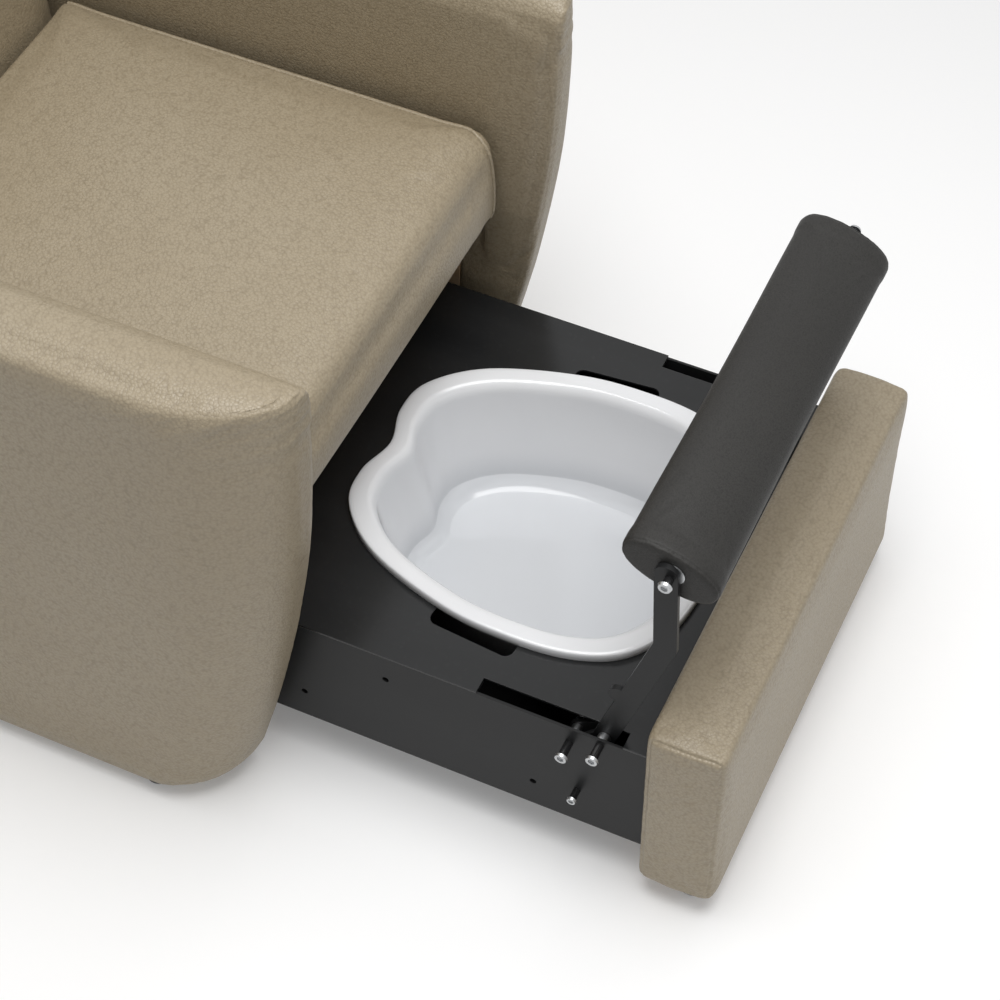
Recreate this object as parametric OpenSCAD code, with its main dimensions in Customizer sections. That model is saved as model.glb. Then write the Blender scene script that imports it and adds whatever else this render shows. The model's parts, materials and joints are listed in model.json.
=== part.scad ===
// Pedicure bench: an upholstered single seat with a foot-bath drawer and a fold-down leg bolster.
// Millimetres, +Z up. The sitter faces -Y and +X is the sitter's left.
// The origin is on the floor, under the middle of the whole with the drawer pulled out.
// The drawer is drawn pulled out and the bolster upright.

/* [Bench] */
// Width over both arms
bench_w = 796; // [770:1:900]
// Depth from the foremost point of the arms to the rear cover
bench_d = 808; // [790:1:900]
// Thickness of each arm
arm_t = 115; // [100:1:140]
// Height of the arms above the floor
arm_h = 670; // [620:1:720]
// Height of the seat above the floor, at the edge of its crown
seat_h = 508; // [490:1:540]
// Height of the back above the floor
back_h = 860; // [780:1:950]
// Height of the glides under the arms
foot_h = 10; // [8:1:30]

/* [Seat and back] */
// Height of the underside of the seat, which the folded bolster passes under
seat_under = 370; // [366:1:385]
// Seat cushion's front face behind the foremost point of the arms
seat_setback = 77; // [60:1:110]
// Rise of the seat's crown
seat_crown = 12; // [4:1:25]
// Thickness of the back cushion at seat level
back_t = 122; // [90:1:150]
// Lean of the back cushion's front face, foot to top
back_lean = 46; // [10:1:60]
// Thickness of the rear cover
rear_t = 24; // [15:1:40]

/* [Drawer] */
// Width over the drawer's side plates
drawer_w = 530; // [500:1:545]
// Length of the drawer box
drawer_d = 560; // [540:1:600]
// Height of the drawer box
drawer_h = 172; // [165:1:180]
// Height of the drawer's top above the floor
drawer_top = 240; // [236:1:250]
// Drawer's front plate in front of the foremost point of the arms
drawer_reach = 342; // [320:1:350]
// Sheet thickness of the drawer
sheet_t = 3; // [2:0.5:4]

/* [Front panel] */
// Width of the upholstered front panel
panel_w = 574; // [540:1:576]
// Height of the front panel
panel_h = 275; // [250:1:280]
// Thickness of the front panel
panel_t = 90; // [80:1:105]
// Clearance of the front panel above the floor
panel_gap = 30; // [30:1:40]

/* [Basin] */
// Width over the basin's rim
basin_w = 386; // [360:1:400]
// Length over the basin's rim
basin_l = 416; // [390:1:440]
// Inside depth of the basin below its rim
basin_depth = 146; // [110:1:155]
// Wall of the basin
basin_wall = 3; // [2:0.5:4]
// Height of the rim above the drawer's top
rim_h = 12; // [9:1:16]
// Gap between the front plate and the rim
basin_gap = 28; // [20:1:36]

/* [Bolster] */
// Depth of the bolster's oval section
bolster_d = 108; // [90:1:109]
// Thickness of the bolster's oval section
bolster_t = 58; // [50:1:70]
// Tilt of the bolster, its rear edge up
bolster_tilt = 20; // [0:1:40]
// Length of the bolster
bolster_w = 489; // [460:1:490]
// Pivot behind the front plate
pivot_back = 56; // [52:1:70]
// Pivot below the drawer's top
pivot_drop = 12; // [8:1:20]
// Rise of the cranked arm from its pivot to its bend
crank_rise = 190; // [170:1:200]
// Forward reach of the cranked arm from its pivot to its bend
crank_reach = 59; // [50:1:62]
// Rise of the arm from its bend to the bolster's axis
post_rise = 112.5; // [100:0.5:118]
// Width of the arm's flat bar
bar_w = 25; // [20:1:30]
// Thickness of the arm's flat bar
bar_t = 6; // [4:0.5:6.5]

/* [Runners] */
// Height of the telescopic runners
runner_h = 45; // [40:1:47]
// Length of each runner's outer member
runner_outer_l = 600; // [560:1:610]
// Length of each runner's middle member
runner_middle_l = 580; // [560:1:600]

/* [Hidden] */

// General values
cut = 1;                    // overrun of every cut
slide_gap = 0.3;            // running gap between faces that slide past each other
run_gap = 0.05;             // radial running clearance of a shaft
hole_gap = 0.1;             // radial clearance of a bolt in its hole
$fn = 48;

// Colours
leather = [0.62, 0.56, 0.48];
leatherette = [0.24, 0.235, 0.225];
charcoal = [0.19, 0.19, 0.2];
zinc = [0.78, 0.79, 0.8];
white = [0.92, 0.93, 0.94];
ply = [0.78, 0.64, 0.44];
timber = [0.74, 0.58, 0.38];
black = [0.06, 0.06, 0.065];

// Places along Y
whole_d = panel_t + drawer_reach + bench_d;
panel_front_y = -whole_d / 2;
plate_y = panel_front_y + panel_t;          // front face of the drawer's front plate
arms_front_y = plate_y + drawer_reach;
bench_back_y = arms_front_y + bench_d;
seat_front_y = arms_front_y + seat_setback;
drawer_back_y = plate_y + drawer_d;

// Places along X and Z
arm_out_x = bench_w / 2;
arm_in_x = arm_out_x - arm_t;
bay_step = 10;                              // the arms are thinner beside the drawer
bay_x = arm_in_x + bay_step;
side_x = drawer_w / 2;
drawer_under = drawer_top - drawer_h;
pivot_y = plate_y + pivot_back;
pivot_z = drawer_top - pivot_drop;
bend_y = pivot_y - crank_reach;
bend_z = pivot_z + crank_rise;
roll_back = 0.7;                            // the bolster's axis lies a little behind the bend
eye_back = 3.5;                              // the bar's round end is centred behind and above the axis
eye_rise = 3;
axis_y = bend_y + roll_back;
axis_z = bend_z + post_rise;

// Outlines

// Corner arc of a rounded rectangle
function corner(x, y, r, a0, n) = [for (i = [0:n])
    let (a = a0 + 90 * i / n) [x + r * cos(a), y + r * sin(a)]];

// Rounded rectangle with its own radius at each end of Y, the same count of points at any size
function rounded(x0, x1, y0, y1, r_front, r_rear, n) =
    let (rf = min(r_front, (x1 - x0) / 2, (y1 - y0) / 2), rr = min(r_rear, (x1 - x0) / 2, (y1 - y0) / 2))
    concat(corner(x1 - rr, y1 - rr, rr, 0, n), corner(x0 + rr, y1 - rr, rr, 90, n),
        corner(x0 + rf, y0 + rf, rf, 180, n), corner(x1 - rf, y0 + rf, rf, 270, n));

// How far an edge of radius r draws in at a depth d below the face that it rounds into
function edge_in(r, d) = d >= r ? 0 : r - sqrt(max(0, r * r - (r - d) * (r - d)));

// Closed skin over a stack of rings of equally many points, the first ring lowest
module skin(rings) {
    n = len(rings[0]);
    m = len(rings);
    polyhedron(points = [for (ring = rings) each ring],
        faces = concat([[for (i = [0:n - 1]) i]],
            [for (k = [0:m - 2], i = [0:n - 1]) [k * n + i, (k + 1) * n + i, k * n + (i + 1) % n]],
            [for (k = [0:m - 2], i = [0:n - 1])
                [(k + 1) * n + i, (k + 1) * n + (i + 1) % n, k * n + (i + 1) % n]],
            [[for (i = [n - 1:-1:0]) (m - 1) * n + i]]));
}

// A flat ring lifted to a height
function at_z(ring, z) = [for (p = ring) [p[0], p[1], z]];

// A profile in Y and Z, extruded along X from x0
module from_side(x0, t) {
    translate([x0, 0, 0]) rotate([90, 0, 90]) linear_extrude(height = t) children();
}

// A flat bar between two points, with round ends
module bar(p, q, w) {
    d = q - p;
    translate(p) circle(d = w);
    translate(q) circle(d = w);
    translate(p) rotate(atan2(d[1], d[0])) translate([0, -w / 2]) square([norm(d), w]);
}

// A rectangle with round corners, centred
module soft_rect(w, h, r) {
    square([w - 2 * r, h], center = true);
    square([w, h - 2 * r], center = true);
    for (sx = [-1, 1], sy = [-1, 1]) translate([sx * (w / 2 - r), sy * (h / 2 - r)]) circle(r = r);
}

// A plain cylinder along X, from x0 over a length
module rod_x(x0, length, r, y, z) {
    translate([x0, y, z]) rotate([0, 90, 0]) cylinder(h = length, r = r);
}

// A bore through a plate that lies across X
module bore_x(x0, t, r, at) {
    rod_x(x0 - cut, t + 2 * cut, r, at[0], at[1]);
}

// A tube along X
module tube_x(x0, length, r, bore_r, at) {
    difference() {
        rod_x(x0, length, r, at[0], at[1]);
        bore_x(x0, length, bore_r, at);
    }
}

// Both sides of a piece that is drawn on the +X side
module both() {
    children();
    mirror([1, 0, 0]) children();
}

// Bolts in the drawer's sides, as [behind the front plate, below the drawer's top]
stop_back = 91;
stop_drop = 29;
lower_back = 80;
lower_drop = 113;
pivot_r = 4;
lower_r = 3;
bolt_head_r = 7.5;
small_head_r = 5.8;
head_t = 3;                                 // low heads
socket_share = 0.54;                        // hex socket, across its corners, of the head's width
socket_deep = 2.2;
head_stand = 20;                            // sleeve between the side plate and the head
small_stand = 14;
sleeve_r = 4.9;
stop_at = [plate_y + stop_back, drawer_top - stop_drop];
lower_at = [plate_y + lower_back, drawer_top - lower_drop];
pivot_at = [pivot_y, pivot_z];

// Where the flat bars of the bolster arms lie
arm_side_gap = 10;                          // between the bar and the side plate
bar_x1 = side_x - sheet_t - arm_side_gap;
bar_x0 = bar_x1 - bar_t;
bracket_gap = 4;                            // between the bar and the inner bracket plate
bracket_t = 4;
bracket_x1 = bar_x0 - bracket_gap;
bracket_x0 = bracket_x1 - bracket_t;
spacer_r = 7;
stop_tube_r = 6;

// Side profile of the arms: shares of the arm's height, and of the nose's fall at that height
nose_fall = 116;                            // how far the nose recedes at the foot
nose_shares = [[0, 1], [0.08, 0.86], [0.19, 0.68], [0.34, 0.47], [0.5, 0.3], [0.65, 0.17], [0.8, 0.09],
    [0.92, 0.06], [1, 0.07]];
body_h = arm_h - foot_h;
function nose_y(z) = arms_front_y + nose_fall * lookup((z - foot_h) / body_h, nose_shares);

// Arms

arm_front_r = 10;                           // inner front corner, a seamed edge
arm_sweep_w = 94;                           // outer front corner sweeps back in an ellipse
arm_sweep_d = 135;
sweep_foot_share = 0.6;                     // depth of the sweep at the foot
arm_rear_r = 16;
arm_top_in_r = 30;
arm_top_out_r = 9;
arm_top_front_r = 80;
arm_foot_r = 42;
arm_foot_side_r = 14;
arm_crown = 5;
taper_rise = 10;                            // above the drawer's top, where the arms start to thicken
taper_z = drawer_top + taper_rise;
arm_level_shares = concat([0, 0.015, 0.035, 0.06, 0.1, 0.18, 0.27],
    [for (z = [taper_z, (taper_z + seat_under) / 2, seat_under]) (z - foot_h) / body_h],
    [0.62, 0.68, 0.76, 0.84, 0.88, 0.92, 0.95, 0.97, 0.985, 0.995, 1]);
frame_t = 18;
frame_inset = 42;                           // frame board behind the arm's nose
frame_setback = 60;                         // frame board behind the seat's front face
frame_foot = 20;                            // frame board above the arm's underside
frame_drop = 40;                            // frame board below the arm's top
frame_rail_w = 66;

// Inner face of the arm at a height: it leans in from the drawer's top to the seat
function inner_x(z) = z <= taper_z ? bay_x : z >= seat_under ? arm_in_x
    : bay_x - bay_step * (z - taper_z) / (seat_under - taper_z);

// Plan outline of the arm: a tight corner inside, swept back outside
function arm_plan(x0, x1, y0, y1, sweep) =
    let (rf = min(arm_front_r, (x1 - x0) / 2), w = min(arm_sweep_w, x1 - x0 - rf), rr = arm_rear_r)
    concat(corner(x1 - rr, y1 - rr, rr, 0, 4), corner(x0 + rr, y1 - rr, rr, 90, 4),
        corner(x0 + rf, y0 + rf, rf, 180, 6),
        [for (i = [1:9]) [x1 - w + w * sin(10 * i), y0 + sweep - sweep * cos(10 * i)]]);

// One level of the arm's skin
function arm_ring(z) = let (down = arm_h - z, up = z - foot_h)
    at_z(arm_plan(inner_x(z) + edge_in(arm_top_in_r, down) + edge_in(arm_foot_side_r, up),
        arm_out_x - edge_in(arm_top_out_r, down) - edge_in(arm_foot_side_r, up),
        nose_y(z) + edge_in(arm_top_front_r, down) + edge_in(arm_foot_r, up),
        bench_back_y - edge_in(arm_rear_r, down),
        arm_sweep_d * (sweep_foot_share + (1 - sweep_foot_share) * up / body_h)), z);

module arm_frame() {
    top_z = arm_h - frame_drop;
    foot_z = foot_h + frame_foot;
    mid_z = seat_under;
    from_side(bay_x, frame_t) polygon([[nose_y(foot_z) + frame_inset, foot_z],
        [seat_front_y + frame_setback, mid_z], [nose_y(top_z) + 2 * frame_inset, top_z],
        [bench_back_y - rear_t, top_z], [bench_back_y - rear_t, foot_z]]);
    for (z = [foot_z, top_z - frame_t])
        translate([bay_x + frame_t, nose_y(foot_z) + 2 * frame_inset, z])
            cube([frame_rail_w, bench_back_y - rear_t - nose_y(foot_z) - 2 * frame_inset, frame_t]);
}

module arm_pad() {
    difference() {
        skin([for (s = arm_level_shares) arm_ring(foot_h + s * body_h)]);
        arm_frame();
        translate([0, seat_front_y + lip_d, 0]) cube([bay_x, bench_d, seat_under]);
    }
}

module arm_frame_left() { color(ply) arm_frame(); }
module arm_frame_right() { color(ply) mirror([1, 0, 0]) arm_frame(); }
module arm_pad_left() { color(leather) arm_pad(); }
module arm_pad_right() { color(leather) mirror([1, 0, 0]) arm_pad(); }

foot_r = 20;
foot_side = 32;                             // foot's centre inside the arm's outer face
foot_front = 212;                           // front foot behind the arms' foremost point
foot_rear = 60;                             // rear foot before the rear cover
module feet() {
    color(black) both() for (y = [arms_front_y + foot_front, bench_back_y - foot_rear])
        translate([arm_out_x - foot_side, y, 0]) cylinder(h = foot_h, r1 = foot_r - sheet_t, r2 = foot_r);
}

// Seat

deck_t = 15;
cleat_w = 28;
cleat_h = 25;
lip_d = 31;                                 // front lip of the cushion, which covers the deck's edge
seat_side_gap = 3;
seat_swell = 3;
seat_front_r = 22;
seat_rear_r = 12;
seat_top_r = 30;
seat_foot_r = 16;
back_front_y = bench_back_y - rear_t - deck_t - back_t;
seat_level_shares = [0, 0.03, 0.1, 0.3, 0.5, 0.7, 0.8, 0.87, 0.93, 0.97, 1];
crown_shares = [0.9, 0.75, 0.5, 0.25, 0.05];

// One level of the seat's skin: its sides swell at half height
function seat_ring(s) =
    let (z = seat_under + s * (seat_h - seat_under), down = seat_h - z, up = z - seat_under,
        swell = seat_swell * sin(180 * s),
        x = arm_in_x - seat_side_gap - seat_swell + swell - edge_in(seat_top_r / 2, down),
        front = seat_front_y - swell + edge_in(seat_top_r, down) + edge_in(seat_foot_r, up))
    at_z(rounded(-x, x, front, back_front_y, seat_front_r, seat_rear_r, 6), z);

// The crown: the top ring drawn in towards the middle of the seat as it rises
function drawn_in(ring, share, rise) = let (y_mid = (seat_front_y + back_front_y) / 2)
    [for (p = ring) [p[0] * share, y_mid + (p[1] - y_mid) * share, p[2] + rise * (1 - share * share)]];

module seat_cushion() {
    color(leather) difference() {
        skin(concat([for (s = seat_level_shares) seat_ring(s)],
            [for (c = crown_shares) drawn_in(seat_ring(1), c, seat_crown)]));
        translate([-arm_in_x, seat_front_y + lip_d, seat_under - cut])
            cube([2 * arm_in_x, bench_d, deck_t + cut]);
    }
}

module seat_deck() {
    color(ply) translate([-arm_in_x, seat_front_y + lip_d, seat_under])
        cube([2 * arm_in_x, back_front_y + back_t - seat_front_y - lip_d, deck_t]);
}

module seat_cleats() {
    color(timber) both() translate([bay_x - cleat_w, seat_front_y + lip_d, seat_under - cleat_h])
        cube([cleat_w, back_front_y + back_t - seat_front_y - lip_d, cleat_h]);
}

// Back

board_y = bench_back_y - rear_t - deck_t;
back_side_gap = 3;
back_top_r = 40;
back_edge_r = 26;
back_level_shares = [0, 0.04, 0.12, 0.3, 0.5, 0.7, 0.85, 0.92, 0.96, 0.985, 1];
back_swell = 6;

function back_ring(s) = let (z0 = seat_under + deck_t, z = z0 + s * (back_h - z0), down = back_h - z,
        x = arm_in_x - back_side_gap - edge_in(back_top_r / 2, down))
    at_z(rounded(-x, x, back_front_y + back_lean * s - back_swell * sin(180 * s) + edge_in(back_top_r, down),
        board_y - edge_in(back_top_r / 4, down), back_edge_r, sheet_t, 6), z);

module back_cushion() {
    color(leather) skin([for (s = back_level_shares) back_ring(s)]);
}

board_drop = 14;
module back_board() {
    color(ply) translate([-arm_in_x, board_y, seat_under])
        cube([2 * arm_in_x, deck_t, back_h - board_drop - seat_under]);
}

rear_gap = 4;
rear_edge_r = 10;
rear_level_shares = [0, 0.005, 0.015, 0.3, 0.6, 0.985, 0.995, 1];
function rear_ring(s) = let (z = foot_h + s * (back_h - foot_h), down = min(back_h - z, z - foot_h),
        y_lift = edge_in(rear_edge_r, down), x = arm_in_x - rear_gap - y_lift)
    at_z(rounded(-x, x, bench_back_y - rear_t, bench_back_y - y_lift, sheet_t, rear_edge_r, 4), z);

module rear_cover() {
    color(leather) skin([for (s = rear_level_shares) rear_ring(s)]);
}

// Base

bearer_h = 45;
bearer_foot = 20;
runner_t = 12;
bearer_x = 234;                             // inner face of the bearers, which carry the runners
bearer_front = runner_outer_l + frame_t;
rear_rail_h = 120;

module runner_bearers() {
    color(timber) both() translate([bearer_x, board_y - bearer_front, bearer_foot])
        cube([bay_x - bearer_x, bearer_front - frame_t, bearer_h]);
}

module rear_rail() {
    color(timber) translate([-bay_x, board_y - frame_t, bearer_foot])
        cube([2 * bay_x, frame_t, rear_rail_h]);
}

// Runners: three channels that slide in each other

skin_t = 2;                                 // wall of the runner members
middle_front = 227;                         // middle member behind the front plate
middle_y = plate_y + middle_front;
inner_front = 20;                           // inner member behind the front plate
runner_foot = bearer_foot;
hanger_t = 3;
hanger_flange = 26;
module channel(x0, x1, z0, z1, y, length, web_outside) {
    web_x = web_outside ? x1 - skin_t : x0;
    translate([web_x, y, z0]) cube([skin_t, length, z1 - z0]);
    for (z = [z0, z1 - skin_t]) translate([x0, y, z]) cube([x1 - x0, length, skin_t]);
}

step1 = skin_t + slide_gap;                 // how much smaller each member is than the one round it
step2 = 2 * step1;
module runner_outer() {
    channel(bearer_x - runner_t, bearer_x, runner_foot, runner_foot + runner_h,
        board_y - bearer_front, runner_outer_l, true);
}

module runner_middle() {
    channel(bearer_x - runner_t, bearer_x - step1, runner_foot + step1, runner_foot + runner_h - step1,
        middle_y, runner_middle_l, true);
}

module runner_inner() {
    length = drawer_d - inner_front;
    y = plate_y + inner_front;
    web_x = bearer_x - runner_t;
    z0 = runner_foot + step2;
    channel(web_x, bearer_x - step2, z0, runner_foot + runner_h - step2, y, length, false);
    translate([web_x - hanger_t, y, z0]) cube([hanger_t, length, drawer_under - z0]);
    translate([web_x - hanger_t - hanger_flange, y, drawer_under - hanger_t])
        cube([hanger_flange + hanger_t, length, hanger_t]);
}

module runner_outer_left() { color(zinc) runner_outer(); }
module runner_outer_right() { color(zinc) mirror([1, 0, 0]) runner_outer(); }
module runner_middle_left() { color(zinc) runner_middle(); }
module runner_middle_right() { color(zinc) mirror([1, 0, 0]) runner_middle(); }
module runner_inner_left() { color(zinc) runner_inner(); }
module runner_inner_right() { color(zinc) mirror([1, 0, 0]) runner_inner(); }

// Basin outline: half of a heart, shares of the half width and of the length, notch first
basin_half_shares = [[0, 0.971], [0.259, 1], [0.518, 0.976], [0.777, 0.841], [0.959, 0.594], [0.997, 0.389],
    [0.959, 0.228], [0.829, 0.106], [0.57, 0.029], [0.259, 0.004], [0, 0]];
basin_mid_share = 0.5;
basin_front_y = plate_y + basin_gap;
basin_steps = 4;
heart_shares = concat(basin_half_shares, [for (i = [len(basin_half_shares) - 2:-1:1])
    [-basin_half_shares[i][0], basin_half_shares[i][1]]]);

// Smooth curve through four neighbouring points
function blend4(a, b, c, d, t) = 0.5 * (2 * b + (c - a) * t + (2 * a - 5 * b + 4 * c - d) * t * t
    + (3 * b - a - 3 * c + d) * t * t * t);
heart_curve = let (p = heart_shares, n = len(p)) [for (i = [0:n - 1], k = [0:basin_steps - 1])
    blend4(p[(i + n - 1) % n], p[i], p[(i + 1) % n], p[(i + 2) % n], k / basin_steps)];

// The outline at a share of its full size, drawn in towards the basin's middle
function heart(share) = [for (p = heart_curve) [p[0] * share * basin_w / 2,
    basin_front_y + basin_l * (basin_mid_share + (p[1] - basin_mid_share) * share)]];

// Basin section: outside from the floor up to the rim, then inside down to the floor again.
// Each entry is a share of the outline and a height below the rim's top.
lip_t = 2;
wall_share = 2 * basin_wall / basin_w;
rim_share = 0.86;                           // mouth of the basin
floor_share = 0.74;
wall_levels_share = [[1, 0.04], [0.93, 0.25], [0.7, 0.5], [0.42, 0.75], [0.2, 0.93], [0.08, 1]];
inner_wall = [for (p = wall_levels_share)
    [floor_share + (rim_share - floor_share) * p[1], -basin_depth * p[0]]];
basin_section = concat(
    [[floor_share - 2 * wall_share, -basin_depth - basin_wall], [floor_share, -basin_depth - basin_wall]],
    [for (p = inner_wall) [p[0] + wall_share, p[1]]],
    [[1 - 4 * wall_share, -basin_wall], [1 - 2 * wall_share, -basin_wall - lip_t], [1 - wall_share, -rim_h],
        [1, -rim_h], [1, -rim_h / 2], [1 - wall_share / 2, -lip_t], [1 - 1.5 * wall_share, 0],
        [1 - 5 * wall_share, 0], [rim_share + wall_share / 2, -lip_t]],
    [for (i = [len(inner_wall) - 1:-1:0]) inner_wall[i]],
    [[floor_share - 2 * wall_share, -basin_depth]]);

module basin() {
    color(white) skin([for (s = basin_section) at_z(heart(s[0]), drawer_top + rim_h + s[1])]);
}

// Drawer

opening_share = 0.91;
slot_front = 30;
slot_rear = 199;
slot_w = 20;
notch_l = 102;
notch_w = 60;
notch_back = 234;                           // middle of the finger notch behind the front plate
notch_x = 177;
notch_turn = 5;
notch_r = 10;
edge_hole_r = 4;
// Spare holes: shares of the drawer's length, and of its height from the top
edge_hole_shares = [[0.55, 0.244], [0.7375, 0.733], [0.236, 0.75]];
flange_w = 15;

module drawer_top_plate() {
    color(charcoal) translate([0, 0, drawer_top - sheet_t]) linear_extrude(height = sheet_t) difference() {
        translate([-side_x, plate_y]) square([drawer_w, drawer_d]);
        polygon(heart(opening_share));
        for (s = [-1, 1]) {
            translate([s * notch_x, plate_y + notch_back]) rotate(s * notch_turn)
                soft_rect(notch_w, notch_l, notch_r);
            translate([s < 0 ? -side_x - cut : side_x - slot_w, plate_y + slot_front])
                square([slot_w + cut, slot_rear - slot_front]);
        }
    }
}

module drawer_side() {
    difference() {
        union() {
            translate([side_x - sheet_t, plate_y, drawer_under])
                cube([sheet_t, drawer_d, drawer_h - sheet_t]);
            translate([side_x - sheet_t - flange_w, plate_y + slot_rear, drawer_top - 2 * sheet_t])
                cube([flange_w, drawer_d - slot_rear - sheet_t, sheet_t]);
        }
        for (h = edge_hole_shares)
            bore_x(side_x - sheet_t, sheet_t, edge_hole_r,
                [plate_y + h[0] * drawer_d, drawer_top - h[1] * drawer_h]);
        for (h = [pivot_at, stop_at]) bore_x(side_x - sheet_t, sheet_t, pivot_r + hole_gap, h);
        bore_x(side_x - sheet_t, sheet_t, lower_r + hole_gap, lower_at);
    }
}

module drawer_side_left() { color(charcoal) drawer_side(); }
module drawer_side_right() { color(charcoal) mirror([1, 0, 0]) drawer_side(); }

inner_w = drawer_w - 2 * sheet_t;
module drawer_back_plate() {
    color(charcoal) translate([-inner_w / 2, drawer_back_y - sheet_t, drawer_under])
        cube([inner_w, sheet_t, drawer_h - sheet_t]);
}

module drawer_bottom_plate() {
    color(charcoal) translate([-inner_w / 2, plate_y + sheet_t, drawer_under])
        cube([inner_w, drawer_d - 2 * sheet_t, sheet_t]);
}

screw_r = 3;
screw_head_r = 6;
screw_head_t = 3.5;
screw_l = 40;
screw_x = 190;
screw_high = 45;                            // upper screws below the drawer's top
screw_low = 130;
screw_places = [for (x = [-screw_x, screw_x], d = [screw_high, screw_low]) [x, drawer_top - d]];

// Something round along Y at each screw of the front plate
module at_screws(y, length, r) {
    for (p = screw_places) translate([p[0], y, p[1]]) rotate([-90, 0, 0]) cylinder(h = length, r = r);
}

module drawer_front_plate() {
    color(charcoal) difference() {
        translate([-inner_w / 2, plate_y, drawer_under]) cube([inner_w, sheet_t, drawer_h - sheet_t]);
        at_screws(plate_y - cut, sheet_t + 2 * cut, screw_r + hole_gap);
    }
}

module panel_screws() {
    color(zinc) {
        at_screws(plate_y + sheet_t, screw_head_t, screw_head_r);
        at_screws(plate_y + sheet_t - screw_l, screw_l, screw_r);
    }
}

// Front panel: a timber core in an upholstered pad

pad_cover = 15;
pad_rear = 6;                               // padding on the back, above the drawer
panel_edge_r = 9;
panel_corner_r = 10;
panel_swell = 2;
panel_level_shares = [0, 0.02, 0.06, 0.12, 0.2, 0.5, 0.8, 0.88, 0.94, 0.98, 1];

// One level of the panel's skin, from its front face back
function panel_ring(s) =
    let (d = min(s, 1 - s) * panel_t, e = edge_in(panel_edge_r, d) - panel_swell * (sin(180 * s) - 1),
        x = panel_w / 2 - e, z0 = panel_gap + e, z1 = panel_gap + panel_h - e)
    [for (p = rounded(-x, x, z0, z1, panel_corner_r, panel_corner_r, 5)) [p[0], plate_y - s * panel_t, p[1]]];

module panel_block() {
    translate([-panel_w / 2 + pad_cover, panel_front_y + pad_cover, panel_gap])
        cube([panel_w - 2 * pad_cover, panel_t - pad_cover - pad_rear, panel_h - pad_cover]);
    translate([-inner_w / 2, plate_y - pad_rear - cut, panel_gap])
        cube([inner_w, pad_rear + cut, drawer_top - sheet_t - panel_gap]);
}

module panel_core() {
    color(timber) difference() {
        panel_block();
        at_screws(plate_y + sheet_t - screw_l - cut, screw_l + cut, screw_r + hole_gap);
    }
}

module panel_pad() {
    color(leather) difference() {
        skin([for (s = panel_level_shares) panel_ring(s)]);
        panel_block();
    }
}

// Brackets and bolts that carry the bolster arms

bracket_edge = 8.5;
module bracket_plate() {
    from_side(bracket_x0, bracket_t) {
        bar(pivot_at, stop_at, 2 * bracket_edge);
        bar(stop_at, lower_at, 2 * bracket_edge);
        bar(lower_at, pivot_at, 2 * bracket_edge);
        polygon([pivot_at, lower_at, stop_at]);
    }
}

module pivot_bracket() {
    difference() {
        bracket_plate();
        for (h = [pivot_at, stop_at]) bore_x(bracket_x0, bracket_t, pivot_r + hole_gap, h);
        bore_x(bracket_x0, bracket_t, lower_r + hole_gap, lower_at);
    }
}

module pivot_bracket_left() { color(charcoal) pivot_bracket(); }
module pivot_bracket_right() { color(charcoal) mirror([1, 0, 0]) pivot_bracket(); }

nut_t = 5;
// A socket-head bolt along X with its head outside and a nut at its inner end
module side_bolt(at, x_in, x_head, r, head_r) {
    difference() {
        union() {
            rod_x(x_in, x_head - x_in, r, at[0], at[1]);
            translate([x_head, at[0], at[1]]) rotate([0, 90, 0])
                cylinder(h = head_t, r1 = head_r, r2 = head_r - skin_t / 2);
            rod_x(x_in, nut_t, head_r - skin_t / 2, at[0], at[1]);
        }
        translate([x_head + head_t - socket_deep, at[0], at[1]]) rotate([0, 90, 0])
            cylinder(h = socket_deep + cut, r = head_r * socket_share, $fn = 6);
    }
}

nut_x = bracket_x0 - nut_t;
module pivot_bolts() {
    color(zinc) both() side_bolt(pivot_at, nut_x, side_x + head_stand, pivot_r, bolt_head_r);
}

module stop_bolts() {
    color(zinc) both() side_bolt(stop_at, nut_x, side_x + head_stand, pivot_r, bolt_head_r);
}

module bracket_bolts() {
    color(zinc) both() side_bolt(lower_at, nut_x, side_x + small_stand, lower_r, small_head_r);
}

module head_sleeves() {
    color(black) both() {
        for (h = [pivot_at, stop_at]) tube_x(side_x, head_stand, sleeve_r, pivot_r + hole_gap, h);
        tube_x(side_x, small_stand, sleeve_r - lower_r / 4, lower_r + hole_gap, lower_at);
    }
}

bay_w = side_x - sheet_t - bracket_x1;
module spacer_tubes() {
    color(zinc) both() {
        tube_x(bracket_x1, bracket_gap - slide_gap, spacer_r, pivot_r + hole_gap, pivot_at);
        tube_x(bar_x1 + slide_gap, arm_side_gap - slide_gap, spacer_r, pivot_r + hole_gap, pivot_at);
        tube_x(bracket_x1, bay_w, stop_tube_r, pivot_r + hole_gap, stop_at);
        tube_x(bracket_x1, bay_w, stop_tube_r, lower_r + hole_gap, lower_at);
    }
}

// Bolster arms: a cranked flat bar with a heel under the stop bolt

heel_w = 18;
heel_l = 42;
lug_r = 11;
lug_up_share = 0.43;
stop_way = stop_at - pivot_at;
heel_turn = atan2(stop_way[1], stop_way[0]) - asin((stop_tube_r + slide_gap + heel_w / 2) / norm(stop_way));
heel_at = pivot_at + heel_l * [cos(heel_turn), sin(heel_turn)];
bend_at = [bend_y, bend_z];
axis_at = [axis_y, axis_z];
eye_at = axis_at + [eye_back, eye_rise];
lug_at = pivot_at + (bend_at - pivot_at) * lug_up_share + [bar_w / 2, 0];

module bolster_arm() {
    difference() {
        from_side(bar_x0, bar_t) {
            bar(pivot_at, bend_at, bar_w);
            bar(bend_at, eye_at, bar_w);
            bar(pivot_at, heel_at, heel_w);
            translate(lug_at) circle(r = lug_r);
        }
        bore_x(bar_x0, bar_t, pivot_r + run_gap, pivot_at);
        bore_x(bar_x0, bar_t, pivot_r + hole_gap, axis_at);
    }
}

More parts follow.
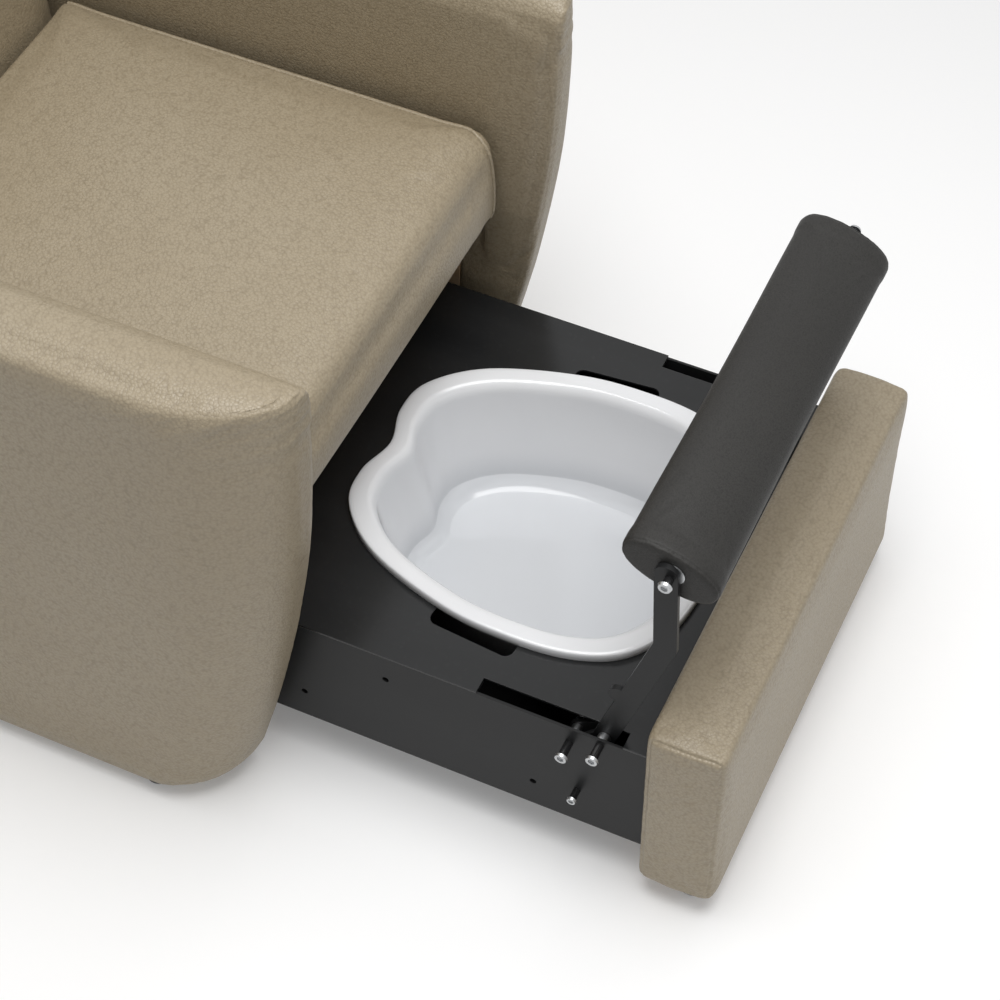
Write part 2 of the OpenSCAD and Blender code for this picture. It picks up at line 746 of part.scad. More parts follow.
module bolster_arm_left() { color(charcoal) bolster_arm(); }
module bolster_arm_right() { color(charcoal) mirror([1, 0, 0]) bolster_arm(); }

bolster_stand = 10;                         // sleeve between the bar and the end bolt's head
bolt_in = 40;                               // how far the end bolt reaches into the bolster
module bolster_bolts() {
    color(zinc) both() difference() {
        union() {
            rod_x(bar_x0 - bolt_in, bolt_in + bar_t + bolster_stand, pivot_r, axis_y, axis_z);
            translate([bar_x1 + bolster_stand, axis_y, axis_z]) rotate([0, 90, 0])
                cylinder(h = head_t, r1 = bolt_head_r, r2 = bolt_head_r - skin_t / 2);
        }
        translate([bar_x1 + bolster_stand + head_t - socket_deep, axis_y, axis_z]) rotate([0, 90, 0])
            cylinder(h = socket_deep + cut, r = bolt_head_r * socket_share, $fn = 6);
    }
}

module bolster_sleeves() {
    color(black) both() tube_x(bar_x1, bolster_stand, sleeve_r, pivot_r + hole_gap, axis_at);
}

// Bolster: an oval pad over two end boards and a rail between them

end_skin = 1.5;
disc_t = 18;
disc_share = 0.8;                           // end boards, of the pad's section
rail_d = 70;
rail_t = 27;
bush_r = 10;
bush_l = 44;
end_gap = 0.5;
washer_r = 13.5;
bolster_edge_r = 5;
bolster_square = 2.25;                      // exponent of the section, where 2 is an ellipse
pad_back = 3.3;                             // the section's middle behind and below the bolts
pad_drop = 2.5;
oval_n = 64;
edge_n = 4;
half_roll = bolster_w / 2;
washer_t = bar_x0 - half_roll - slide_gap;

// The bolster's oval section, drawn in by a margin all round
function oval(margin) = [for (i = [0:oval_n - 1]) let (a = 360 * i / oval_n, c = cos(a), s = sin(a))
    [(bolster_d / 2 - margin) * sign(c) * pow(abs(c), 2 / bolster_square),
     (bolster_t / 2 - margin) * sign(s) * pow(abs(s), 2 / bolster_square)]];

// A flat shape in the bolster's section, extruded along X from x0
module along_bolster(x0, length) {
    translate([x0, axis_y + pad_back, axis_z - pad_drop]) rotate([90, 0, 90]) linear_extrude(height = length)
        rotate(bolster_tilt) children();
}

// Both ends of the bolster: bores or tubes round its bolts
module at_ends(x0, length, r) {
    for (x = [x0, -x0 - length]) rod_x(x, length, r, axis_y, axis_z);
}

module bolster_pad() {
    color(leatherette) difference() {
        hull() for (k = [0:edge_n]) let (a = 90 * k / edge_n, x = half_roll - bolster_edge_r * (1 - sin(a)))
            along_bolster(-x, 2 * x) polygon(oval(bolster_edge_r * (1 - cos(a))));
        for (x = [-half_roll + end_skin, half_roll - end_skin - disc_t])
            along_bolster(x, disc_t) polygon(oval((1 - disc_share) * bolster_t / 2));
        along_bolster(-half_roll + end_skin + disc_t, bolster_w - 2 * end_skin - 2 * disc_t)
            square([rail_d, rail_t], center = true);
        at_ends(half_roll - end_skin - cut, end_skin + 2 * cut, bush_r + hole_gap);
    }
}

module bolster_core() {
    color(timber) difference() {
        along_bolster(-half_roll + end_skin + disc_t, bolster_w - 2 * end_skin - 2 * disc_t)
            square([rail_d, rail_t], center = true);
        at_ends(half_roll - bush_l - end_gap, bush_l, bush_r + hole_gap);
    }
}

module bolster_end_discs() {
    color(ply) difference() {
        for (x = [-half_roll + end_skin, half_roll - end_skin - disc_t])
            along_bolster(x, disc_t) polygon(oval((1 - disc_share) * bolster_t / 2));
        at_ends(half_roll - end_skin - disc_t - cut, disc_t + 2 * cut, bush_r + hole_gap);
    }
}

module bolster_bushes() {
    color(black) difference() {
        at_ends(half_roll - bush_l, bush_l, bush_r);
        at_ends(half_roll - bush_l - cut, bush_l + 2 * cut, pivot_r + run_gap);
    }
}

module bolster_washers() {
    color(zinc) both() tube_x(bar_x0 - washer_t, washer_t, washer_r, pivot_r + hole_gap, axis_at);
}

// Rollers under the front panel

roller_r = 12;
roller_t = 14;
roller_bore = 2.5;
roller_x = 256;
roller_back = 55;                           // axle before the front plate
fork_t = 2;
fork_w = 24;
fork_side_gap = 0.5;
fork_cheek = 7;
roller_y = plate_y - roller_back;
cheek_x = roller_x - roller_t / 2 - fork_side_gap - fork_t;
fork_span = roller_t + 2 * fork_side_gap + 2 * fork_t;

module roller() {
    color(black) difference() {
        rod_x(roller_x - roller_t / 2, roller_t, roller_r, roller_y, roller_r);
        bore_x(roller_x - roller_t / 2, roller_t, roller_bore + run_gap, [roller_y, roller_r]);
    }
}

module roller_left() { roller(); }
module roller_right() { mirror([1, 0, 0]) roller(); }

module roller_forks() {
    color(zinc) both() difference() {
        union() {
            translate([cheek_x, roller_y - fork_w / 2, panel_gap - fork_t]) cube([fork_span, fork_w, fork_t]);
            for (x = [cheek_x, cheek_x + fork_span - fork_t]) from_side(x, fork_t) {
                translate([roller_y - fork_cheek, roller_r])
                    square([2 * fork_cheek, panel_gap - fork_t - roller_r]);
                translate([roller_y, roller_r]) circle(r = fork_cheek);
            }
        }
        bore_x(cheek_x, fork_span, roller_bore + hole_gap, [roller_y, roller_r]);
    }
}

module roller_axles() {
    color(zinc) both()
        rod_x(cheek_x - fork_side_gap, fork_span + 2 * fork_side_gap, roller_bore, roller_y, roller_r);
}

arm_frame_left();
arm_frame_right();
arm_pad_left();
arm_pad_right();
feet();
seat_cleats();
seat_deck();
seat_cushion();
back_board();
back_cushion();
rear_cover();
rear_rail();
runner_bearers();
runner_outer_left();
runner_outer_right();
runner_middle_left();
runner_middle_right();
runner_inner_left();
runner_inner_right();
drawer_top_plate();
drawer_side_left();
drawer_side_right();
drawer_back_plate();
drawer_bottom_plate();
drawer_front_plate();
panel_core();
panel_pad();
panel_screws();
basin();
pivot_bracket_left();
pivot_bracket_right();
pivot_bolts();
stop_bolts();
bracket_bolts();
head_sleeves();
spacer_tubes();
roller_forks();
roller_axles();
roller_left();
roller_right();
bolster_arm_left();
bolster_arm_right();
bolster_bolts();
bolster_sleeves();
bolster_washers();
bolster_pad();
bolster_core();
bolster_end_discs();
bolster_bushes();
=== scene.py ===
"""Looks of the pedicure bench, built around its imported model.

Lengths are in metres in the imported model's frame: +Z is up, the sitter faces -Y and +X is the sitter's left.
The bench, the drawer's front panel, its basin and the leg bolster each have a class that builds their pieces.
"""

import json
import logging
import math
from collections.abc import Callable, Iterable, Iterator, Sequence
from contextlib import contextmanager
from dataclasses import dataclass
from enum import Enum
from functools import cached_property

import bmesh
import bpy
import numpy as np
from mathutils import Matrix, Vector
from mathutils.bvhtree import BVHTree
from mathutils.kdtree import KDTree

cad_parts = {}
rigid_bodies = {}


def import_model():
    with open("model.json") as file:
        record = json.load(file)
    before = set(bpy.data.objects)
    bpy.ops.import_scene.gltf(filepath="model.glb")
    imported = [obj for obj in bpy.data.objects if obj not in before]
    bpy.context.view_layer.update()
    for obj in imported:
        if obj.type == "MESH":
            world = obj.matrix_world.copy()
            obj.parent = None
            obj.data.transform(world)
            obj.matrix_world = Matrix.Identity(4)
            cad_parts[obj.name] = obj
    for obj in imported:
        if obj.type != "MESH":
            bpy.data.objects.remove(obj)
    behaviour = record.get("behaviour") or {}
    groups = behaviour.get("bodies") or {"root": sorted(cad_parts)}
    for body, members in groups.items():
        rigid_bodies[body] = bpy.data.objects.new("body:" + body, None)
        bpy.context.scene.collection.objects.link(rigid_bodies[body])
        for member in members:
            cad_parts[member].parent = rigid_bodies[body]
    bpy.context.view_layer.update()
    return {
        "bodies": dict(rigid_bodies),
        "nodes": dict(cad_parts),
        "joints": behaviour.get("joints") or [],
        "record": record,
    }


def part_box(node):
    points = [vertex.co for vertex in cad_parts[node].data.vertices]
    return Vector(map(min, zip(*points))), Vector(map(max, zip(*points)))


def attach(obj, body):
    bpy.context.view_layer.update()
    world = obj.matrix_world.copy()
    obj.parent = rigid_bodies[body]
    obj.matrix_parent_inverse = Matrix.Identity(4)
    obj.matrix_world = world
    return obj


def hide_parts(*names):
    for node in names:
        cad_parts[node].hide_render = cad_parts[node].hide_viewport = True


LOG = logging.getLogger("pedicure_bench")
MM = 0.001
WHITE_LIGHT = (1.0, 1.0, 1.0, 1.0)
CLOTH_FRAMES = 15
CLOTH_QUALITY = 4
CLOTH_PRESSURE = 4.0
CORNER_POINTS = 8
SEAM_STEP = 1.5 * MM  # between the points of a pressed seam
SEAM_ROUNDS = 8
PIPING_ROUNDS = 6
AHEAD = 0.2  # how far in front of a piece a ray starts
Colour = tuple[float, float, float]
Point = tuple[float, float, float]
Path = list[Vector]


# ---------- shader maths


class Level:
    """A number that varies over a surface; arithmetic on it adds Math nodes."""

    def __init__(self, book: "ShaderBook", socket: bpy.types.NodeSocket) -> None:
        """Keeps the socket and the book that its nodes go in."""
        self.book = book
        self.socket = socket

    def __add__(self, other: "Level | float") -> "Level":
        """Sum."""
        return self.book.math("ADD", self, other)

    __radd__ = __add__

    def __sub__(self, other: "Level | float") -> "Level":
        """Difference."""
        return self.book.math("SUBTRACT", self, other)

    def __rsub__(self, other: "Level | float") -> "Level":
        """Difference from a number."""
        return self.book.math("SUBTRACT", other, self)

    def __mul__(self, other: "Level | float") -> "Level":
        """Product."""
        return self.book.math("MULTIPLY", self, other)

    def ramp(self, start: float, end: float) -> "Level":
        """Smooth step from 0 at start to 1 at end."""
        node = self.book.node(
            "ShaderNodeMapRange",
            {"interpolation_type": "SMOOTHSTEP"},
            {"Value": self, "From Min": start, "From Max": end},
        )
        return Level(self.book, node.outputs[0])


class ShaderBook:
    """One material or world and the nodes that make it up."""

    def __init__(self, owner: bpy.types.Material | bpy.types.World) -> None:
        """Starts an empty node tree for its owner."""
        owner.use_nodes = True
        self.owner = owner
        self.tree = owner.node_tree
        self.tree.nodes.clear()

    @cached_property
    def coords(self) -> bpy.types.NodeSocket:
        """The object's own coordinates."""
        return self.node("ShaderNodeTexCoord").outputs["Object"]

    def feed(self, socket: bpy.types.NodeSocket, value: object) -> None:
        """Links an input to a level, a node or a socket, or sets its constant."""
        if isinstance(value, Level):
            value = value.socket
        if isinstance(value, bpy.types.Node):
            value = value.outputs[0]
        if isinstance(value, bpy.types.NodeSocket):
            self.tree.links.new(value, socket)
        else:
            socket.default_value = value

    def node(
        self,
        kind: str,
        settings: dict[str, object] | None = None,
        sockets: dict[str | int, object] | None = None,
    ) -> bpy.types.Node:
        """Adds a node: first its settings, then its sockets.

        Args:
            kind: The node's type.
            settings: Properties of the node.
            sockets: Values or links by the input's name or number.

        Returns:
            The new node.
        """
        made = self.tree.nodes.new(kind)
        for key, value in (settings or {}).items():
            setattr(made, key, value)
        for key, value in (sockets or {}).items():
            self.feed(made.inputs[key], value)
        return made

    def math(self, operation: str, first: object, second: object) -> Level:
        """A Math node of two values."""
        node = self.node("ShaderNodeMath", {"operation": operation}, {0: first, 1: second})
        return Level(self, node.outputs[0])

    def vectors(self, operation: str, sockets: dict[str | int, object]) -> bpy.types.Node:
        """A Vector Math node."""
        return self.node("ShaderNodeVectorMath", {"operation": operation}, sockets)

    def noise(self, scale: float, detail: float = 2.0, at: object = None, **more: float) -> Level:
        """Noise from 0 to 1.

        Args:
            scale: Features per metre.
            detail: Octaves.
            at: Coordinates, or the object's own.
            more: Other inputs by name.
        """
        sockets = {"Vector": at or self.coords, "Scale": scale, "Detail": detail, **more}
        return Level(self, self.node("ShaderNodeTexNoise", None, sockets).outputs[0])

    def cells(self, scale: float, feature: str, at: object = None) -> Level:
        """Voronoi distance of so many cells per metre."""
        sockets = {"Vector": at or self.coords, "Scale": scale}
        return Level(self, self.node("ShaderNodeTexVoronoi", {"feature": feature}, sockets).outputs["Distance"])

    def moved(self, amount: float, scale: float) -> bpy.types.NodeSocket:
        """The object's coordinates, wandering by an amount in metres with noise of a scale."""
        noise = self.node("ShaderNodeTexNoise", None, {"Vector": self.coords, "Scale": scale, "Detail": 1.0})
        centred = self.vectors("SUBTRACT", {0: noise.outputs["Color"], 1: (0.5, 0.5, 0.5)})
        scaled = self.vectors("SCALE", {0: centred.outputs[0], "Scale": amount})
        return self.vectors("ADD", {0: self.coords, 1: scaled.outputs[0]}).outputs[0]

    def stretched(self, scale: Point) -> bpy.types.NodeSocket:
        """The object's coordinates times a scale for each axis."""
        return self.node("ShaderNodeMapping", None, {"Vector": self.coords, "Scale": scale}).outputs[0]

    def mix(self, first: object, second: object, share: object) -> bpy.types.NodeSocket:
        """Mix of two colours, the second by share."""
        colours = [(*c, 1.0) if isinstance(c, tuple) else c for c in (first, second)]
        node = self.node("ShaderNodeMix", {"data_type": "RGBA"}, {0: share, 6: colours[0], 7: colours[1]})
        return node.outputs[2]

    def bump(
        self, height: Level, distance: float, strength: float = 1.0, normal: object = None
    ) -> bpy.types.NodeSocket:
        """Normal raised by a height from 0 to 1 over a distance in metres."""
        sockets = {"Height": height, "Distance": distance, "Strength": strength}
        if normal is not None:
            sockets["Normal"] = normal
        return self.node("ShaderNodeBump", None, sockets).outputs[0]

    def eased_edges(self, radius: float) -> bpy.types.NodeSocket:
        """Normal that rounds sharp edges by a radius in metres."""
        return self.node("ShaderNodeBevel", {"samples": 4}, {"Radius": radius}).outputs[0]

    def seen(self) -> Level:
        """1 for rays from the camera, in a reflection or through a clear piece, and 0 for the light's own."""
        path = self.node("ShaderNodeLightPath")
        camera, glossy, through = (
            Level(self, path.outputs[f"Is {kind} Ray"]) for kind in ("Camera", "Glossy", "Transmission")
        )
        return camera + glossy + through

    def surface(self, sockets: dict[str, object]) -> bpy.types.Material:
        """Ends the book with a Principled surface and its output, and returns the finished material."""
        colour = sockets.get("Base Color")
        if isinstance(colour, tuple):
            sockets = {**sockets, "Base Color": (*colour, 1.0)}
        skin = self.node("ShaderNodeBsdfPrincipled", None, sockets)
        self.node("ShaderNodeOutputMaterial", None, {"Surface": skin})
        return self.owner


# ---------- finishes


@dataclass(frozen=True)
class Finish:
    """What every finish has: a name, a slot name and its main colour."""

    name: str
    slot: str
    colour: Colour

    def book(self) -> ShaderBook:
        """An empty book for the finish's material."""
        return ShaderBook(bpy.data.materials.new(self.name))


@dataclass(frozen=True)
class Leather(Finish):
    """Coated upholstery leather with a pebbled grain."""

    warm: Colour
    # colour of the painted shade in the grain's hollows
    hollow_shade: Colour
    cell: float
    depth: float
    roughness: float
    specular: float

    def material(self) -> bpy.types.Material:
        """Pebbles of uneven size with fine creases between them, colour that wanders a little, and painted shade in
        the grain's hollows.
        """
        book = self.book()
        wander = book.moved(0.7 * self.cell, 0.7 / self.cell)
        domes = 1 - book.cells(1 / self.cell, "F1", wander)
        creases = book.cells(1 / self.cell, "DISTANCE_TO_EDGE", wander).ramp(0.0, 0.12)
        clusters = book.noise(0.33 / self.cell)
        fine = book.noise(1.7 / self.cell)
        broad = book.noise(5.0, 3.0)
        relief = domes * 0.75 + creases * 0.2 + clusters * 0.45 + fine * 0.15
        tone = book.mix(self.colour, self.warm, broad.ramp(0.35, 0.7))
        # painted shade: darker colour where the grain and its clusters lie low
        shaded = book.mix(self.hollow_shade, tone, (domes * 0.7 + clusters * 0.5).ramp(0.15, 0.85))
        rough = self.roughness + (clusters - 0.5) * 0.16 - domes * 0.08 + broad * 0.04
        return book.surface({
            "Base Color": shaded,
            "Roughness": rough,
            "Normal": book.bump(relief, self.depth),
            "Specular IOR Level": self.specular,
            "IOR": 1.5,
        })


@dataclass(frozen=True)
class CoatedSteel(Finish):
    """Folded steel sheet with a smooth dark coat."""

    roughness: float
    specular: float

    def material(self) -> bpy.types.Material:
        """A faint orange peel, wiped streaks in the gloss, dust in the colour and eased edges."""
        book = self.book()
        peel = book.noise(420.0)
        wipe = book.noise(9.0, 4.0, book.stretched((1.0, 0.25, 1.0)), Distortion=0.6)
        dust = book.noise(160.0, 3.0)
        pale = tuple(1.7 * c + 0.002 for c in self.colour)
        edges = book.eased_edges(1.1 * MM)
        return book.surface({
            "Base Color": book.mix(self.colour, pale, wipe.ramp(0.3, 0.8) * 0.5 + dust.ramp(0.55, 0.8) * 0.3),
            "Roughness": self.roughness + wipe * 0.09 + dust * 0.03,
            "Normal": book.bump(peel, 0.02 * MM, 0.35, edges),
            "Specular IOR Level": self.specular,
        })


@dataclass(frozen=True)
class GlossPlastic(Finish):
    """Moulded gloss plastic of a bowl, with painted shade that greys its lower part."""

    shade: Colour
    # painted shade: the colour low in the bowl, and the heights over which it gives way to the plastic's own
    bottom: Colour
    bottom_z: tuple[float, float]
    roughness: float

    def material(self) -> bpy.types.Material:
        """A clean gloss with slight waves from the mould and a few fine scuffs."""
        book = self.book()
        wave = book.noise(14.0, 1.0)
        scuff = book.noise(60.0, 5.0, book.stretched((1.0, 0.2, 0.6)))
        height = Level(book, book.node("ShaderNodeSeparateXYZ", None, {0: book.coords}).outputs["Z"])
        skin = book.mix(self.colour, self.shade, book.noise(7.0, 3.0).ramp(0.35, 0.75) * 0.6)
        return book.surface({
            # painted shade: greyer colour towards the bowl's floor
            "Base Color": book.mix(self.bottom, skin, height.ramp(*self.bottom_z)),
            "Roughness": self.roughness + scuff.ramp(0.55, 0.75) * 0.08,
            "Normal": book.bump(wave, 0.25 * MM, 0.5),
            "Specular IOR Level": 0.5,
        })


@dataclass(frozen=True)
class MattPlastic(Finish):
    """Textured plastic of glides, rollers, sleeves and bushes."""

    roughness: float

    def material(self) -> bpy.types.Material:
        """Fine spark texture with rubbed lighter patches."""
        book = self.book()
        spark = book.noise(1500.0)
        rub = book.noise(90.0, 4.0).ramp(0.5, 0.8)
        pale = tuple(1.6 * c + 0.01 for c in self.colour)
        return book.surface({
            "Base Color": book.mix(self.colour, pale, rub * 0.6),
            "Roughness": self.roughness - rub * 0.12,
            "Normal": book.bump(spark, 0.03 * MM, 0.5, book.eased_edges(0.5 * MM)),
        })


@dataclass(frozen=True)
class PlatedSteel(Finish):
    """Bright zinc plate on bolts, runners and forks."""

    roughness: float

    def material(self) -> bpy.types.Material:
        """Clouded plate with drawn lines along the sheet and eased edges."""
        book = self.book()
        cloud = book.noise(70.0, 4.0)
        drawn = book.noise(900.0, 2.0, book.stretched((1.0, 0.03, 1.0)))
        dull = tuple(0.72 * c for c in self.colour)
        return book.surface({
            "Base Color": book.mix(self.colour, dull, cloud.ramp(0.35, 0.75) * 0.7),
            "Metallic": 1.0,
            "Roughness": self.roughness + cloud * 0.1 + drawn * 0.06,
            "Normal": book.bump(drawn, 0.01 * MM, 0.4, book.eased_edges(0.4 * MM)),
        })


@dataclass(frozen=True)
class Wood(Finish):
    """Softwood rails and birch plywood of the hidden frame."""

    dark: Colour
    plies: float

    def material(self) -> bpy.types.Material:
        """Long grain with growth lines; plywood shows its layers across a cut edge."""
        book = self.book()
        along = book.stretched((1.0, 0.07, 1.0))
        rings = book.noise(42.0, 4.0, along, Distortion=1.2)
        pores = book.noise(900.0, 2.0, book.stretched((1.0, 0.05, 1.0)))
        lines = rings.ramp(0.42, 0.6)
        if self.plies:
            sockets = {"Vector": book.coords, "Scale": self.plies}
            layer = book.node("ShaderNodeTexWave", {"bands_direction": "Z"}, sockets)
            lines = lines * 0.6 + Level(book, layer.outputs[1]).ramp(0.3, 0.7) * 0.25
        return book.surface({
            "Base Color": book.mix(self.colour, self.dark, lines * 0.7 + pores * 0.25),
            "Roughness": 0.55 + pores * 0.15,
            "Normal": book.bump(pores + lines * 0.4, 0.05 * MM, 0.6, book.eased_edges(0.8 * MM)),
        })


class Look(Enum):
    """The finishes of the bench, as the photograph shows them."""

    # each leather's third colour is painted shade in the grain's hollows
    BEIGE_LEATHER = Leather(
        "beige_leather", "beige_leather", (0.326, 0.270, 0.184), (0.312, 0.255, 0.170), (0.240, 0.193, 0.125),
        3.4 * MM, 0.50 * MM, 0.48, 0.70,
    )
    DARK_LEATHER = Leather(
        "dark_leatherette", "dark_leatherette", (0.030, 0.0289, 0.0268), (0.0265, 0.0254, 0.0235),
        (0.018, 0.0172, 0.0159), 1.6 * MM, 0.16 * MM, 0.52, 0.25,
    )
    CHARCOAL = CoatedSteel("charcoal_steel", "charcoal_steel", (0.0140, 0.0145, 0.0150), 0.13, 0.34)
    CHARCOAL_SATIN = CoatedSteel("charcoal_satin", "charcoal_steel", (0.0125, 0.0128, 0.0132), 0.34, 0.18)
    # the third colour and the heights are painted shade low in the bowl
    WHITE = GlossPlastic(
        "white_plastic", "white_plastic", (0.78, 0.786, 0.80), (0.75, 0.757, 0.773), (0.60, 0.615, 0.637),
        (105 * MM, 160 * MM), 0.11,
    )
    BLACK = MattPlastic("black_plastic", "black_plastic", (0.014, 0.014, 0.0145), 0.52)
    SLEEVE = MattPlastic("gloss_black_plastic", "black_plastic", (0.012, 0.012, 0.0125), 0.24)
    ZINC = PlatedSteel("zinc", "zinc", (0.50, 0.51, 0.52), 0.26)
    TIMBER = Wood("timber", "timber", (0.56, 0.39, 0.23), (0.40, 0.25, 0.13), 0.0)
    STAINED = Wood("stained_timber", "timber", (0.022, 0.019, 0.016), (0.014, 0.012, 0.010), 0.0)
    PLY = Wood("ply", "ply", (0.62, 0.46, 0.29), (0.46, 0.31, 0.17), 110.0)


class Wardrobe:
    """Makes each finish's material once and puts it on pieces."""

    def __init__(self) -> None:
        """Starts with no material made."""
        self.made: dict[Look, bpy.types.Material] = {}

    def dress(self, piece: bpy.types.Object, look: Look) -> None:
        """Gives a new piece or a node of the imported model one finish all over."""
        if look not in self.made:
            self.made[look] = look.value.material()
        piece.data.materials.clear()
        piece.data.materials.append(self.made[look])


# ---------- modelling tools


def pick(piece: bpy.types.Object) -> None:
    """Selects one object and nothing else, and makes it active."""
    bpy.ops.object.select_all(action="DESELECT")
    piece.select_set(True)
    bpy.context.view_layer.objects.active = piece


@contextmanager
def editing(piece: bpy.types.Object) -> Iterator[bmesh.types.BMesh]:
    """Edit mode on one piece, with its edit mesh."""
    pick(piece)
    bpy.ops.object.mode_set(mode="EDIT")
    try:
        yield bmesh.from_edit_mesh(piece.data)
    finally:
        bpy.ops.object.mode_set(mode="OBJECT")


def places(piece: bpy.types.Object) -> np.ndarray:
    """The piece's points, one row each."""
    flat = np.empty(len(piece.data.vertices) * 3)
    piece.data.vertices.foreach_get("co", flat)
    return flat.reshape(-1, 3)


def outward(piece: bpy.types.Object) -> np.ndarray:
    """The normal at each point of the piece."""
    flat = np.empty(len(piece.data.vertices) * 3, np.float32)
    piece.data.vertex_normals.foreach_get("vector", flat)
    return flat.reshape(-1, 3).astype(float)


def put(piece: bpy.types.Object, points: np.ndarray) -> None:
    """Moves the piece's points to new places."""
    piece.data.vertices.foreach_set("co", points.ravel())
    piece.data.update()


def weigh(piece: bpy.types.Object, name: str, shares: np.ndarray) -> str:
    """Gives each point of the piece its share in a new vertex group, and returns the group's name."""
    group = piece.vertex_groups.new(name=name)
    for i, share in enumerate(shares):
        if share > 0:
            group.add([i], float(share), "REPLACE")
    return group.name


def surface_of(*pieces: bpy.types.Object) -> BVHTree:
    """A search tree over the faces of some pieces."""
    points: list[Vector] = []
    faces: list[list[int]] = []
    for piece in pieces:
        first = len(points)
        points += [v.co.copy() for v in piece.data.vertices]
        faces += [[first + i for i in p.vertices] for p in piece.data.polygons]
    return BVHTree.FromPolygons(points, faces)


def hits(skin: BVHTree, rays: Iterable[tuple[Vector, Vector]]) -> Path:
    """Where rays, each a start and a direction, meet a surface."""
    found = (skin.ray_cast(start, towards)[0] for start, towards in rays)
    return [at for at in found if at is not None]


def nearest_on(path: Path, points: np.ndarray) -> np.ndarray:
    """Distance from each point to a path given by close points."""
    tree = KDTree(len(path))
    for i, at in enumerate(path):
        tree.insert(at, i)
    tree.balance()
    return np.array([tree.find(p)[2] for p in points])


def even(path: Sequence[Vector], step: float, closed: bool = False) -> Path:
    """The same path, closed or open, with points a step apart."""
    corners = [*path, path[0]] if closed else list(path)
    made: Path = []
    for a, b in zip(corners, corners[1:]):
        count = max(1, round((b - a).length / step))
        made += [a.lerp(b, k / count) for k in range(count)]
    return made if closed else [*made, corners[-1]]


def onto(path: Path, skin: BVHTree, lift: float = 0.0) -> Path:
    """The path laid on a surface that it runs near, or lifted outside it by a distance."""
    laid: Path = []
    for at in path:
        place, normal, _, _ = skin.find_nearest(at)
        laid.append(place + normal * lift)
    return laid


def smoothed(path: Path, rounds: int) -> Path:
    """The path with each inner point drawn between its neighbours a number of times."""
    points = np.array([list(p) for p in path])
    for _ in range(rounds):
        points[1:-1] = 0.5 * points[1:-1] + 0.25 * (points[:-2] + points[2:])
    return [Vector(p) for p in points]


def round_path(corners: Sequence[Vector], radius: float) -> Path:
    """A closed path through corners rounded by a radius."""
    made: Path = []
    for i, at in enumerate(corners):
        to_last = (corners[i - 1] - at).normalized()
        to_next = (corners[(i + 1) % len(corners)] - at).normalized()
        half = to_last.angle(to_next) / 2
        start, end = at + to_last * radius / math.tan(half), at + to_next * radius / math.tan(half)
        centre = at + (to_last + to_next).normalized() * radius / math.sin(half)
        for k in range(CORNER_POINTS + 1):
            spoke = (start - centre).lerp(end - centre, k / CORNER_POINTS)
            made.append(centre + spoke.normalized() * radius)
    return made


def tube(name: str, path: Path, radius: float) -> bpy.types.Object:
    """A mesh piece in the form of a round cord, with the path as its centre line."""
    curve = bpy.data.curves.new(name, "CURVE")
    curve.dimensions = "3D"
    curve.bevel_depth = radius
    curve.bevel_resolution = 1
    curve.use_fill_caps = True
    line = curve.splines.new("POLY")
    line.points.add(len(path) - 1)
    line.points.foreach_set("co", [c for p in path for c in (*p, 1.0)])
    piece = bpy.data.objects.new(name, curve)
    bpy.context.scene.collection.objects.link(piece)
    pick(piece)
    bpy.ops.object.convert(target="MESH")
    bpy.ops.object.shade_smooth()
    return piece


def apply(piece: bpy.types.Object, kind: str, **settings: object) -> None:
    """Adds a modifier with its settings and applies it."""
    modifier = piece.modifiers.new(kind.title(), kind)
    for key, value in settings.items():
        setattr(modifier, key, value)
    pick(piece)
    bpy.ops.object.modifier_apply(modifier=modifier.name)


# ---------- soft goods


@dataclass(frozen=True)
class Stuffing:
    """How a pad is cut, stuffed and finished, in metres."""

    voxel: float
    tuck: float
    swell: float
    rounds: int
    refine: int
    fill: float
    crisp: bool = False


